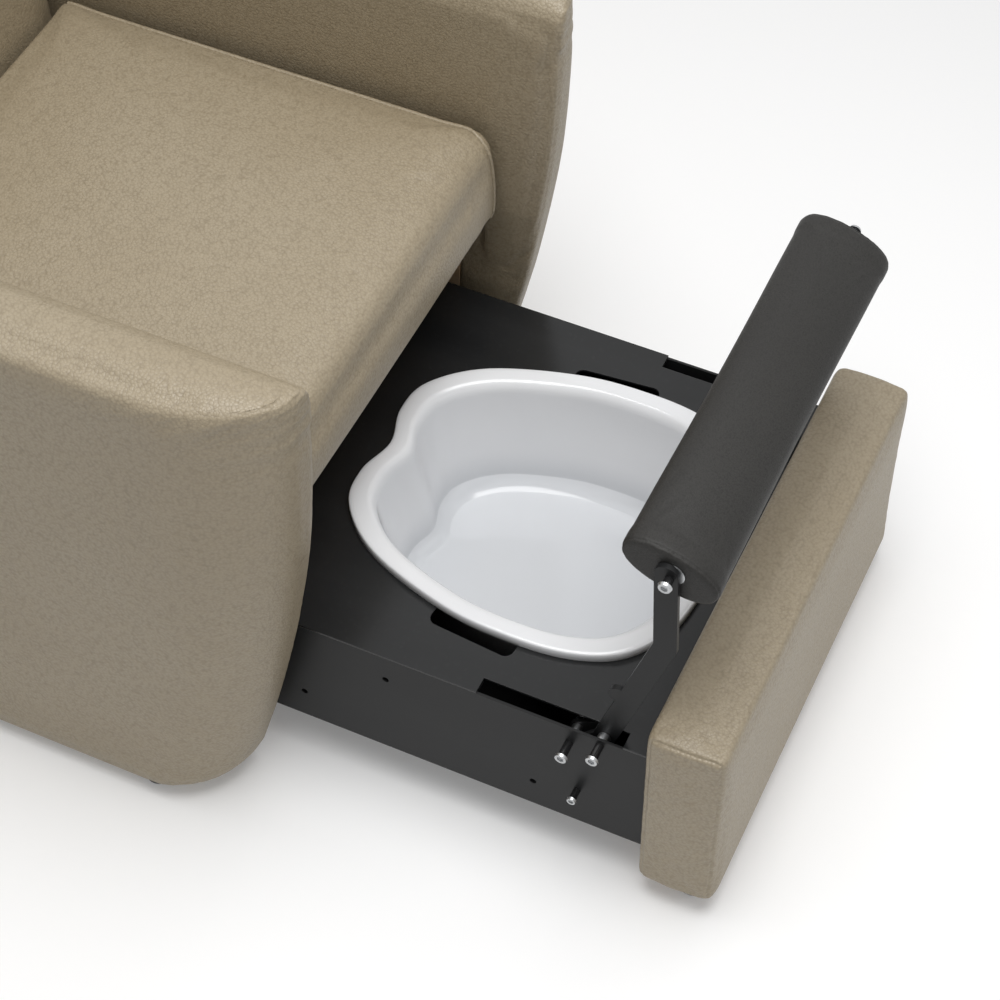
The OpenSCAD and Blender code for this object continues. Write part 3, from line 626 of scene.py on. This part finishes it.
@dataclass
class Pad:
    """An upholstered pad that takes the place of a soft node."""

    node: str
    body: str
    look: Look
    stuffing: Stuffing
    backing: tuple[str, ...]
    filling: tuple[str, ...] = ()
    form: Callable[[np.ndarray], np.ndarray] | None = None

    def build(self, nodes: dict[str, bpy.types.Object]) -> bpy.types.Object:
        """Cuts the pad a little small from its node, stuffs it and lets it swell."""
        piece = self.blank(nodes)
        with editing(piece):
            bpy.ops.mesh.select_all(action="SELECT")
            bpy.ops.mesh.remove_doubles(threshold=1e-6)
        cut = surface_of(piece)
        apply(piece, "REMESH", mode="VOXEL", voxel_size=self.stuffing.voxel)
        held = self.hold(piece, [nodes[n] for n in self.backing])
        self.soften(piece, held)
        if self.stuffing.crisp:
            put(piece, np.array([list(cut.find_nearest(p)[0]) for p in places(piece)]))
            self.soften(piece, held, 1)
        if self.form:
            put(piece, self.form(places(piece)))
        start = places(piece)
        put(piece, start - outward(piece) * (self.stuffing.tuck * (1 - held))[:, None])
        self.inflate(piece, held)
        if self.stuffing.refine:
            apply(piece, "SUBSURF", levels=self.stuffing.refine, render_levels=self.stuffing.refine)
        pick(piece)
        bpy.ops.object.shade_smooth()
        return piece

    def blank(self, nodes: dict[str, bpy.types.Object]) -> bpy.types.Object:
        """A copy of the node's solid, with the pieces inside it joined in so that its cavities close over."""
        copies = []
        for name in (self.node, *self.filling):
            copies.append(bpy.data.objects.new(f"{name}_cover", nodes[name].data.copy()))
            bpy.context.scene.collection.objects.link(copies[-1])
        pick(copies[0])
        if self.filling:
            for copy in copies:
                copy.select_set(True)
            bpy.ops.object.join()
        return copies[0]

    def hold(self, piece: bpy.types.Object, backing: list[bpy.types.Object]) -> np.ndarray:
        """How firmly each point is held by the rigid nodes behind it, from 0, free, to 1."""
        boards = surface_of(*backing)
        reach = 1.3 * self.stuffing.voxel
        gaps = np.array([boards.find_nearest(v.co)[3] for v in piece.data.vertices])
        return np.clip(2 - gaps / reach, 0, 1)

    def soften(self, piece: bpy.types.Object, held: np.ndarray, rounds: int = 0) -> None:
        """Takes the steps of the cut out of the free points, in so many rounds or as many as the stuffing says."""
        free = weigh(piece, "free", 1 - held)
        apply(piece, "SMOOTH", factor=0.5, iterations=rounds or self.stuffing.rounds, vertex_group=free)

    def inflate(self, piece: bpy.types.Object, held: np.ndarray) -> None:
        """Swells the pad by pressure on cloth, and caps how far a point moves."""
        scene = bpy.context.scene
        pinned = weigh(piece, "held", held)
        before = places(piece)
        cloth = piece.modifiers.new("Cloth", "CLOTH")
        cloth.settings.quality = CLOTH_QUALITY
        cloth.settings.use_pressure = True
        cloth.settings.uniform_pressure_force = CLOTH_PRESSURE
        cloth.settings.vertex_group_mass = pinned
        cloth.settings.effector_weights.gravity = 0.0
        cloth.collision_settings.use_collision = False
        cloth.point_cache.frame_start, cloth.point_cache.frame_end = 1, CLOTH_FRAMES
        for frame in range(1, CLOTH_FRAMES + 1):
            scene.frame_set(frame)
        pick(piece)
        bpy.ops.object.modifier_apply(modifier=cloth.name)
        moved = places(piece) - before
        reach = np.linalg.norm(moved, axis=1)[:, None]
        cap = self.stuffing.swell
        put(piece, before + moved * np.where(reach > 1e-9, cap * np.tanh(reach / cap) / np.maximum(reach, 1e-9), 0))
        scene.frame_set(1)

    def finish(self, piece: bpy.types.Object, wardrobe: Wardrobe) -> None:
        """Dresses the pad and says what it is."""
        wardrobe.dress(piece, self.look)
        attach(piece, self.body)
        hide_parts(self.node)
        LOG.info("%s: %d faces", piece.name, len(piece.data.polygons))


def press_seam(piece: bpy.types.Object, path: Path, depth: float, width: float) -> None:
    """Draws a seam into a pad along a path that lies on it.

    Args:
        piece: The pad.
        path: Close points on its surface.
        depth: How deep the seam is drawn in.
        width: Half width of the valley beside it.
    """
    centres = np.array([list(p.center) for p in piece.data.polygons])
    lo = np.array([list(p) for p in path]).min(0) - 3 * width
    hi = np.array([list(p) for p in path]).max(0) + 3 * width
    near = np.where(((centres > lo) & (centres < hi)).all(1))[0]
    close = near[nearest_on(path, centres[near]) < 2.4 * width]
    with editing(piece) as mesh:
        bpy.ops.mesh.select_mode(type="FACE")
        bpy.ops.mesh.select_all(action="DESELECT")
        mesh.faces.ensure_lookup_table()
        for i in close:
            mesh.faces[i].select = True
        bmesh.update_edit_mesh(piece.data)
        bpy.ops.mesh.subdivide(number_cuts=1)
    points, normals = places(piece), outward(piece)
    near = np.where(((points > lo) & (points < hi)).all(1))[0]
    gap = nearest_on(path, points[near])
    points[near] -= normals[near] * (depth * np.exp(-((gap / width) ** 2)))[:, None]
    put(piece, points)


@dataclass
class Maker:
    """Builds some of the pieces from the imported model's nodes and dresses them from a wardrobe."""

    nodes: dict[str, bpy.types.Object]
    wardrobe: Wardrobe

    def welt(self, name: str, path: Path, radius: float, pad: bpy.types.Object, body: str, look: Look) -> None:
        """Lays a piped edge half sunk on a pad, riding with it.

        Args:
            name: The piece's name.
            path: Points near the pad's surface.
            radius: The piping's radius.
            pad: The pad it is sewn into.
            body: The body that carries it.
            look: Its finish.
        """
        piece = tube(name, smoothed(onto(path, surface_of(pad), 0.25 * radius), PIPING_ROUNDS), radius)
        self.wardrobe.dress(piece, look)
        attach(piece, body)


# ---------- the bench


@dataclass
class Bench(Maker):
    """Arms, seat, back and rear cover of the bench."""

    body: str = "bench"
    arm: Stuffing = Stuffing(5.0 * MM, 2.0 * MM, 2.2 * MM, 3, 0, 0.9, True)
    seat: Stuffing = Stuffing(7.0 * MM, 3.0 * MM, 4.5 * MM, 3, 1, 0.8)
    back: Stuffing = Stuffing(8.0 * MM, 3.0 * MM, 5.0 * MM, 3, 1, 0.8)
    rear: Stuffing = Stuffing(7.0 * MM, 1.0 * MM, 1.5 * MM, 1, 0, 0.5)
    welt_r: float = 2.8 * MM
    core_in: float = 34.0 * MM
    piping_lean: tuple[float, float] = (48.0, 20.0)
    piping_points: tuple[int, int, int] = (160, 24, 39)
    piping_ends: tuple[float, float] = (12.0 * MM, 14.0 * MM)
    seat_press: tuple[float, float] = (1.2 * MM, 4.0 * MM)
    nose_in: float = 9.0 * MM
    nose_span: tuple[float, float] = (0.08, 0.93)
    nose_points: int = 90
    nose_press: tuple[float, float] = (1.6 * MM, 5.0 * MM)
    back_in: float = 9.0 * MM
    back_ends: tuple[float, float] = (150.0 * MM, 34.0 * MM)
    back_points: int = 120
    back_press: tuple[float, float] = (1.2 * MM, 4.5 * MM)
    rear_seam_in: float = 16.0 * MM
    rear_seam_r: float = 20.0 * MM
    rear_press: tuple[float, float] = (1.6 * MM, 4.5 * MM)
    cut_front_r: float = 80.0 * MM
    front_r: float = 14.0 * MM
    front_run: tuple[float, float] = (200.0 * MM, 450.0 * MM)
    rise: float = 20.0 * MM
    rise_from: float = 450.0 * MM
    lean: float = 9.0 * MM
    crown: float = 8.0 * MM
    crown_fade: float = 14.0 * MM
    crown_run: float = 90.0 * MM

    def build(self) -> None:
        """Builds and dresses the bench's soft goods."""
        self.build_arms()
        self.build_seat()
        self.build_back()
        self.build_rear()

    def build_arms(self) -> None:
        """One arm is stuffed and the other is its mirrored copy."""
        left = Pad("arm_pad_left", self.body, Look.BEIGE_LEATHER, self.arm, ("arm_frame_left",), (), self.arm_form)
        right = Pad("arm_pad_right", self.body, Look.BEIGE_LEATHER, self.arm, ("arm_frame_right",))
        piece = left.build(self.nodes)
        press_seam(piece, self.nose_seam(piece), *self.nose_press)
        twin = bpy.data.objects.new("arm_pad_right_cover", piece.data.copy())
        bpy.context.scene.collection.objects.link(twin)
        with editing(twin):
            bpy.ops.mesh.select_all(action="SELECT")
            bpy.ops.transform.resize(value=(-1, 1, 1), center_override=(0, 0, 0))
            bpy.ops.mesh.flip_normals()
        left.finish(piece, self.wardrobe)
        right.finish(twin, self.wardrobe)

    def arm_form(self, points: np.ndarray) -> np.ndarray:
        """Moves points of the left arm's cut to its full padding: crowned top, tight front corner, slight lean."""
        lo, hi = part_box("arm_pad_left")
        x, y, z = points.T.copy()
        down = np.clip(hi.z - z, 0, None)

        def edge_in(radius: float) -> np.ndarray:
            """How far a round edge of the arm's top draws in at each point's height."""
            deep = np.clip(radius - down, 0, radius)
            return radius - np.sqrt(radius * radius - deep * deep)

        run = np.clip((lo.y + self.front_run[1] - y) / (self.front_run[1] - self.front_run[0]), 0, 1)
        y -= (edge_in(self.cut_front_r) - edge_in(self.front_r)) * run * run * (3 - 2 * run)
        high = np.clip((z - self.rise_from) / (hi.z - self.rise_from), 0, 1)
        high = high * high * (3 - 2 * high)
        across = np.clip((x - lo.x) / (hi.x - lo.x), 0, 1)
        behind = np.clip((y - lo.y) / self.crown_run, 0, 1)
        dome = (1 - (2 * across - 1) ** 2) * np.exp(-down / self.crown_fade) * np.sin(behind * math.pi / 2)
        return np.column_stack((x - self.lean * across * high, y, z + self.rise * high + self.crown * dome))

    def nose_seam(self, piece: bpy.types.Object) -> Path:
        """Path of the seam that runs up the inner edge of the arm's nose."""
        lo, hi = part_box("arm_pad_left")
        heights = lo.z + (hi.z - lo.z) * np.linspace(*self.nose_span, self.nose_points)
        rays = ((Vector((lo.x + self.nose_in, lo.y - AHEAD, z)), Vector((0, 1, 0))) for z in heights)
        return even(hits(surface_of(piece), rays), SEAM_STEP)

    def build_seat(self) -> None:
        """The seat block with its piped side seams."""
        pad = Pad("seat_cushion", self.body, Look.BEIGE_LEATHER, self.seat, ("seat_deck",))
        piece = pad.build(self.nodes)
        for sign, name in ((1, "left"), (-1, "right")):
            path = self.seat_edge(piece, sign)
            press_seam(piece, even(path, SEAM_STEP), *self.seat_press)
            self.welt(f"seat_piping_{name}", path, self.welt_r, piece, self.body, Look.BEIGE_LEATHER)
        pad.finish(piece, self.wardrobe)

    def seat_edge(self, piece: bpy.types.Object, sign: int) -> Path:
        """The seam along one side of the seat, from the back over the front corner and down.

        Args:
            piece: The seat pad.
            sign: 1 for the sitter's left, -1 for the right.

        Returns:
            Points on the pad, found from its core outwards.
        """
        lo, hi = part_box("seat_cushion")
        core = self.core_in
        top, side, front = hi.z - core, sign * (hi.x - core), lo.y + core
        lean_top, lean_front = self.piping_lean
        along, round_corner, down = self.piping_points
        behind, foot = self.piping_ends

        def ray(y: float, z: float, pitch: float, lean: float) -> tuple[Vector, Vector]:
            """A ray from the core, pitched up from the front and leaning out to the side."""
            up, out = math.radians(pitch), math.radians(lean)
            towards = Vector((sign * math.sin(out), -math.cos(out) * math.cos(up), math.cos(out) * math.sin(up)))
            return Vector((side, y, z)), towards

        rays = [ray(y, top, 90.0, lean_top) for y in np.linspace(hi.y - behind, front, along)]
        for turn in np.linspace(0, 1, round_corner + 1)[1:]:
            rays.append(ray(front, top, 90.0 * (1 - turn), lean_top + (lean_front - lean_top) * turn))
        rays += [ray(front, z, 0.0, lean_front) for z in np.linspace(top, lo.z + foot, down + 1)[1:]]
        return even(smoothed(hits(surface_of(piece), rays), SEAM_ROUNDS), 2 * SEAM_STEP)

    def build_back(self) -> None:
        """The back cushion with piped sides."""
        pad = Pad("back_cushion", self.body, Look.BEIGE_LEATHER, self.back, ("back_board",))
        piece = pad.build(self.nodes)
        lo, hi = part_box("back_cushion")
        skin = surface_of(piece)
        heights = np.linspace(lo.z + self.back_ends[0], hi.z - self.back_ends[1], self.back_points)
        for sign, name in ((1, "left"), (-1, "right")):
            x = sign * (hi.x - self.back_in)
            path = hits(skin, ((Vector((x, lo.y - AHEAD, z)), Vector((0, 1, 0))) for z in heights))
            press_seam(piece, even(path, 2 * MM), *self.back_press)
            self.welt(f"back_piping_{name}", path, self.welt_r, piece, self.body, Look.BEIGE_LEATHER)
        pad.finish(piece, self.wardrobe)

    def build_rear(self) -> None:
        """The rear cover with its edge seam."""
        pad = Pad("rear_cover", self.body, Look.BEIGE_LEATHER, self.rear, ("back_board", "rear_rail"))
        piece = pad.build(self.nodes)
        lo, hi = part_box("rear_cover")
        side, low, high = hi.x - self.rear_seam_in, lo.z + self.rear_seam_in, hi.z - self.rear_seam_in
        corners = [Vector((x, hi.y, z)) for x, z in ((-side, low), (side, low), (side, high), (-side, high))]
        path = even(round_path(corners, self.rear_seam_r), 2.5 * MM, True)
        press_seam(piece, onto(path, surface_of(piece)), *self.rear_press)
        pad.finish(piece, self.wardrobe)


# ---------- the drawer


@dataclass
class FrontPanel(Maker):
    """The drawer's upholstered front, with box seams round its ends."""

    body: str = "drawer"
    stuffing: Stuffing = Stuffing(5.4 * MM, 1.6 * MM, 2.0 * MM, 2, 1, 0.7, True)
    seam_in: float = 1.5 * MM
    seam_r: float = 9.0 * MM
    seam_press: tuple[float, float] = (1.7 * MM, 2.0 * MM)
    pucker: float = 0.22 * MM
    pucker_reach: float = 22.0 * MM
    pucker_waves: Point = (210.0, 170.0, 61.0)  # radians per metre along y, along z and of their wander

    def build(self) -> None:
        """Builds and dresses the panel."""
        pad = Pad("panel_pad", self.body, Look.BEIGE_LEATHER, self.stuffing, ("panel_core", "drawer_front_plate"))
        piece = pad.build(self.nodes)
        lo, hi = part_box("panel_pad")
        front, low = lo.y + self.seam_in, lo.z + self.seam_in
        rear, high = hi.y - self.seam_in, hi.z - self.seam_in
        for x in (-hi.x, hi.x):
            corners = [Vector((x, y, z)) for y, z in ((front, low), (rear, low), (rear, high), (front, high))]
            path = onto(even(round_path(corners, self.seam_r), SEAM_STEP, True), surface_of(piece))
            press_seam(piece, path, *self.seam_press)
        self.gather(piece, lo, hi)
        pad.finish(piece, self.wardrobe)

    def gather(self, piece: bpy.types.Object, lo: Vector, hi: Vector) -> None:
        """Faint puckers that run in from the end seams."""
        points, normals = places(piece), outward(piece)
        depth = np.minimum(np.abs(points[:, 0] - lo.x), np.abs(hi.x - points[:, 0]))
        by_y, by_z, wander = self.pucker_waves
        along = points[:, 1] * by_y + points[:, 2] * by_z + np.sin(points[:, 2] * wander) * 2.0
        wave = np.sin(along) * np.exp(-depth / self.pucker_reach) * self.pucker
        put(piece, points + normals * wave[:, None])


@dataclass
class Basin(Maker):
    """The lift-out basin: a heart-shaped bowl with a wide rolled rim."""

    body: str = "drawer"
    wall: float = 3.0 * MM
    rim_h: float = 12.0 * MM
    edge_r: float = 1.6 * MM
    crest_in: float = 5.0 * MM
    crest: float = 0.6 * MM
    rim_w: float = 16.5 * MM
    roll: tuple[float, float] = (11.0 * MM, 20.0 * MM)
    wall_foot: tuple[float, float] = (49.0 * MM, 126.0 * MM)
    fillet: tuple[float, float] = (22.0 * MM, 20.0 * MM)
    arc_steps: int = 6
    steps: int = 8
    outline: tuple[tuple[float, float], ...] = (
        (0, 0.971), (0.259, 1), (0.518, 0.976), (0.777, 0.841), (0.959, 0.594), (0.997, 0.389),
        (0.959, 0.228), (0.829, 0.106), (0.57, 0.029), (0.259, 0.004), (0, 0),
    )

    def heart(self, lo: Vector, hi: Vector) -> Path:
        """The rim's outer outline in the drawer's plane, fitted in the basin's box."""
        half = list(self.outline)
        ring = half + [(-x, y) for x, y in half[-2:0:-1]]
        n = len(ring)
        made: Path = []
        for i in range(n):
            a, b, c, d = (np.array(ring[(i + k) % n]) for k in (-1, 0, 1, 2))
            for k in range(self.steps):
                t = k / self.steps
                bend, twist = 2 * a - 5 * b + 4 * c - d, 3 * b - a - 3 * c + d
                x, y = 0.5 * (2 * b + (c - a) * t + bend * t * t + twist * t ** 3)
                made.append(Vector((x * hi.x, lo.y + y * (hi.y - lo.y), 0)))
        return made

    def arc(
        self, start: tuple[float, float], end: tuple[float, float], flat_first: bool
    ) -> list[tuple[float, float]]:
        """A quarter ellipse in the section, without its start.

        Args:
            start: Inset and depth where it starts.
            end: Inset and depth where it ends.
            flat_first: Whether it starts level and ends upright, or the other way round.

        Returns:
            The points.
        """
        made = []
        for k in range(1, self.arc_steps + 1):
            turn = math.pi / 2 * k / self.arc_steps
            shares = (math.sin(turn), 1 - math.cos(turn))
            across, down = shares if flat_first else shares[::-1]
            made.append((start[0] + (end[0] - start[0]) * across, start[1] + (end[1] - start[1]) * down))
        return made

    def section(self) -> list[tuple[float, float]]:
        """Insets and depths below the rim's top, from the outer floor over the rim to the inner floor."""
        lip = (self.rim_w + self.roll[0], self.roll[1])
        floor = (self.wall_foot[0] + self.fillet[0], self.wall_foot[1] + self.fillet[1])
        inner = [
            (0.5 * self.edge_r, 0.3 * self.edge_r), (self.edge_r, 0.0), (self.crest_in, -self.crest),
            (0.5 * (self.crest_in + self.rim_w), -0.6 * self.crest), (self.rim_w, 0.0),
            *self.arc((self.rim_w, 0.0), lip, True),
            (0.5 * (lip[0] + self.wall_foot[0]), 0.5 * (lip[1] + self.wall_foot[1])), self.wall_foot,
            *self.arc(self.wall_foot, floor, False),
        ]
        under = self.rim_h
        outer = [
            (floor[0] + self.fillet[0], floor[1] + self.wall), (floor[0], floor[1] + self.wall),
            (self.wall_foot[0] - self.wall, self.wall_foot[1] + self.wall),
            (lip[0] - self.wall, under + 2 * self.wall), (lip[0] - 2 * self.wall, self.wall + self.edge_r),
            (self.wall, self.wall), (self.wall, under), (0.3 * self.edge_r, under),
            (0.0, under - 0.3 * self.edge_r), (0.0, self.edge_r),
        ]
        return outer + inner + [(floor[0] + self.fillet[0], floor[1] + 0.3 * self.edge_r)]

    def build(self) -> None:
        """Draws the outline, extrudes it along the section and closes both floors."""
        lo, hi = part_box("basin")
        outline = self.heart(lo, hi)
        centre = Vector((0, (lo.y + hi.y) / 2, hi.z))
        bpy.ops.object.select_all(action="DESELECT")
        bpy.ops.mesh.primitive_circle_add(vertices=len(outline), radius=0.2, location=(0, 0, 0))
        piece = bpy.context.object
        piece.name = "basin_moulding"
        section = self.section()
        with editing(piece) as mesh:
            mesh.verts.ensure_lookup_table()
            share, height = 1 - section[0][0] / hi.x, -section[0][1]
            for vertex, at in zip(mesh.verts, outline):
                flat = centre + (Vector((at.x, at.y, centre.z)) - centre) * share
                vertex.co = Vector((flat.x, flat.y, hi.z + height))
            bpy.ops.mesh.select_all(action="SELECT")
            bpy.ops.mesh.edge_face_add()
            for inset, depth in section[1:]:
                share_next, height_next = 1 - inset / hi.x, -depth
                ratio = share_next / share
                bpy.ops.mesh.extrude_region_move()
                bpy.ops.transform.resize(value=(ratio, ratio, 1), center_override=centre)
                bpy.ops.transform.translate(value=(0, 0, height_next - height))
                share, height = share_next, height_next
            bpy.ops.mesh.select_all(action="SELECT")
            bpy.ops.mesh.normals_make_consistent(inside=False)
        pick(piece)
        bpy.ops.object.shade_smooth()
        self.wardrobe.dress(piece, Look.WHITE)
        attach(piece, self.body)
        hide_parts("basin")
        LOG.info("%s: %d faces", piece.name, len(piece.data.polygons))


# ---------- the bolster


@dataclass
class LegBolster(Maker):
    """The oval leg bolster with its sewn ends."""

    body: str = "bolster"
    stuffing: Stuffing = Stuffing(3.6 * MM, 1.2 * MM, 1.6 * MM, 2, 1, 0.85)
    seam_in: float = 4.0 * MM
    seam_press: tuple[float, float] = (1.1 * MM, 1.6 * MM)
    spokes: int = 160

    def build(self) -> None:
        """Builds and dresses the bolster."""
        boards = ("bolster_core", "bolster_end_discs")
        pad = Pad("bolster_pad", self.body, Look.DARK_LEATHER, self.stuffing, boards, (*boards, "bolster_bushes"))
        piece = pad.build(self.nodes)
        lo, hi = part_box("bolster_pad")
        skin = surface_of(piece)
        turns = [2 * math.pi * k / self.spokes for k in range(self.spokes)]
        for sign in (-1, 1):
            centre = Vector((sign * (hi.x - self.seam_in), (lo.y + hi.y) / 2, (lo.z + hi.z) / 2))
            ring = hits(skin, ((centre, Vector((0, math.cos(turn), math.sin(turn)))) for turn in turns))
            press_seam(piece, ring, *self.seam_press)
        pad.finish(piece, self.wardrobe)


# ---------- the stage


@dataclass
class Studio:
    """Floor, lamps, sky and the photograph's camera."""

    lens: float = 92.08
    sensor: float = 36.0
    azimuth: float = -64.65
    elevation: float = 50.79
    roll: float = -0.51
    stand: Point = (-1.65711, -1.02056, 2.46468)
    key_at: Point = (-0.3, -0.55, 3.4)
    key_aim: Point = (-0.05, -0.25, 0.3)
    key_size: float = 2.0
    key_power: float = 84.0
    ambient: float = 0.42
    floor_size: float = 14.0
    floor_glow: float = 0.135
    floor_near: Colour = (0.88, 0.88, 0.88)
    # painted shade: the floor greys from its near colour to this one over these distances from the bench
    floor_far_shade: Colour = (0.82, 0.82, 0.82)
    floor_shade_fade: tuple[float, float] = (0.7, 1.7)

    def build(self) -> None:
        """Builds the floor, the sky, the lamp and the camera."""
        self.build_floor()
        self.build_sky()
        self.build_key()
        self.build_camera()

    def build_floor(self) -> None:
        """A pale floor that keeps the object's shadow and shows near white, greyed by painted shade away from the
        bench.
        """
        bpy.ops.object.select_all(action="DESELECT")
        bpy.ops.mesh.primitive_plane_add(size=self.floor_size, location=(0, 0, 0))
        floor = bpy.context.object
        floor.name = "studio_floor"
        book = ShaderBook(bpy.data.materials.new("pale_floor"))
        far = Level(book, book.vectors("LENGTH", {0: book.coords}).outputs["Value"]).ramp(*self.floor_shade_fade)
        paint = book.node("ShaderNodeBsdfDiffuse", None, {"Color": book.mix(self.floor_near, self.floor_far_shade, far)})
        glow = book.node("ShaderNodeEmission", None, {"Color": WHITE_LIGHT, "Strength": book.seen() * self.floor_glow})
        both = book.node("ShaderNodeAddShader", None, {0: paint, 1: glow})
        book.node("ShaderNodeOutputMaterial", None, {"Surface": both})
        floor.data.materials.append(book.owner)

    def build_sky(self) -> None:
        """A white room to the eye and in reflections, and a softer one for the light."""
        world = bpy.data.worlds.new("studio_sky")
        bpy.context.scene.world = world
        book = ShaderBook(world)
        light = book.node("ShaderNodeBackground", None, {"Color": WHITE_LIGHT, "Strength": self.ambient})
        room = book.node("ShaderNodeBackground", None, {"Color": WHITE_LIGHT})
        sky = book.node("ShaderNodeMixShader", None, {0: book.seen(), 1: light, 2: room})
        book.node("ShaderNodeOutputWorld", None, {"Surface": sky})

    def build_key(self) -> None:
        """One big softbox above the drawer."""
        bpy.ops.object.select_all(action="DESELECT")
        bpy.ops.object.light_add(type="AREA", location=self.key_at)
        lamp = bpy.context.object
        lamp.name = "key_softbox"
        lamp.data.shape = "SQUARE"
        lamp.data.size, lamp.data.energy = self.key_size, self.key_power
        lamp.rotation_euler = (Vector(self.key_aim) - Vector(self.key_at)).to_track_quat("-Z", "Y").to_euler()

    def build_camera(self) -> None:
        """The camera where the photograph was taken from."""
        a, e, r = (math.radians(x) for x in (self.azimuth, self.elevation, self.roll))
        back = Vector((math.sin(a) * math.cos(e), -math.cos(a) * math.cos(e), math.sin(e)))
        right = (-back).cross(Vector((0, 0, 1))).normalized()
        up = right.cross(-back)
        right, up = right * math.cos(r) + up * math.sin(r), up * math.cos(r) - right * math.sin(r)
        data = bpy.data.cameras.new("photo_camera")
        data.lens, data.sensor_width = self.lens, self.sensor
        camera = bpy.data.objects.new("photo_camera", data)
        bpy.context.scene.collection.objects.link(camera)
        turn = Matrix((right, up, back)).transposed().to_4x4()
        camera.matrix_world = Matrix.Translation(self.stand) @ turn
        bpy.context.scene.camera = camera


NODE_LOOKS: dict[Look, tuple[str, ...]] = {
    Look.CHARCOAL: ("drawer_top_plate",),
    Look.CHARCOAL_SATIN: (
        "drawer_side_left", "drawer_side_right", "drawer_back_plate", "drawer_bottom_plate", "drawer_front_plate",
        "pivot_bracket_left", "pivot_bracket_right", "bolster_arm_left", "bolster_arm_right",
    ),
    Look.ZINC: (
        "runner_outer_left", "runner_outer_right", "runner_middle_left", "runner_middle_right",
        "runner_inner_left", "runner_inner_right", "panel_screws", "pivot_bolts", "stop_bolts", "bracket_bolts",
        "spacer_tubes", "roller_forks", "roller_axles", "bolster_bolts", "bolster_washers",
    ),
    Look.BLACK: ("feet", "roller_left", "roller_right", "bolster_bushes"),
    Look.SLEEVE: ("head_sleeves", "bolster_sleeves"),
    Look.TIMBER: ("rear_rail", "runner_bearers", "panel_core", "bolster_core"),
    Look.STAINED: ("seat_cleats",),
    Look.PLY: ("arm_frame_left", "arm_frame_right", "seat_deck", "bolster_end_discs"),
    Look.BEIGE_LEATHER: ("back_board",),
}


def main() -> None:
    """Builds everything in order and reports each piece."""
    logging.basicConfig(level=logging.INFO, format="%(name)s %(message)s")
    bpy.context.scene.view_settings.view_transform = "Standard"
    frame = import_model()
    nodes = frame["nodes"]
    wardrobe = Wardrobe()
    for look, names in NODE_LOOKS.items():
        for name in names:
            wardrobe.dress(nodes[name], look)
            LOG.info("%s dressed", name)
    Studio().build()
    for maker in (Bench, FrontPanel, Basin, LegBolster):
        maker(nodes, wardrobe).build()


if __name__ == "__main__":
    main()
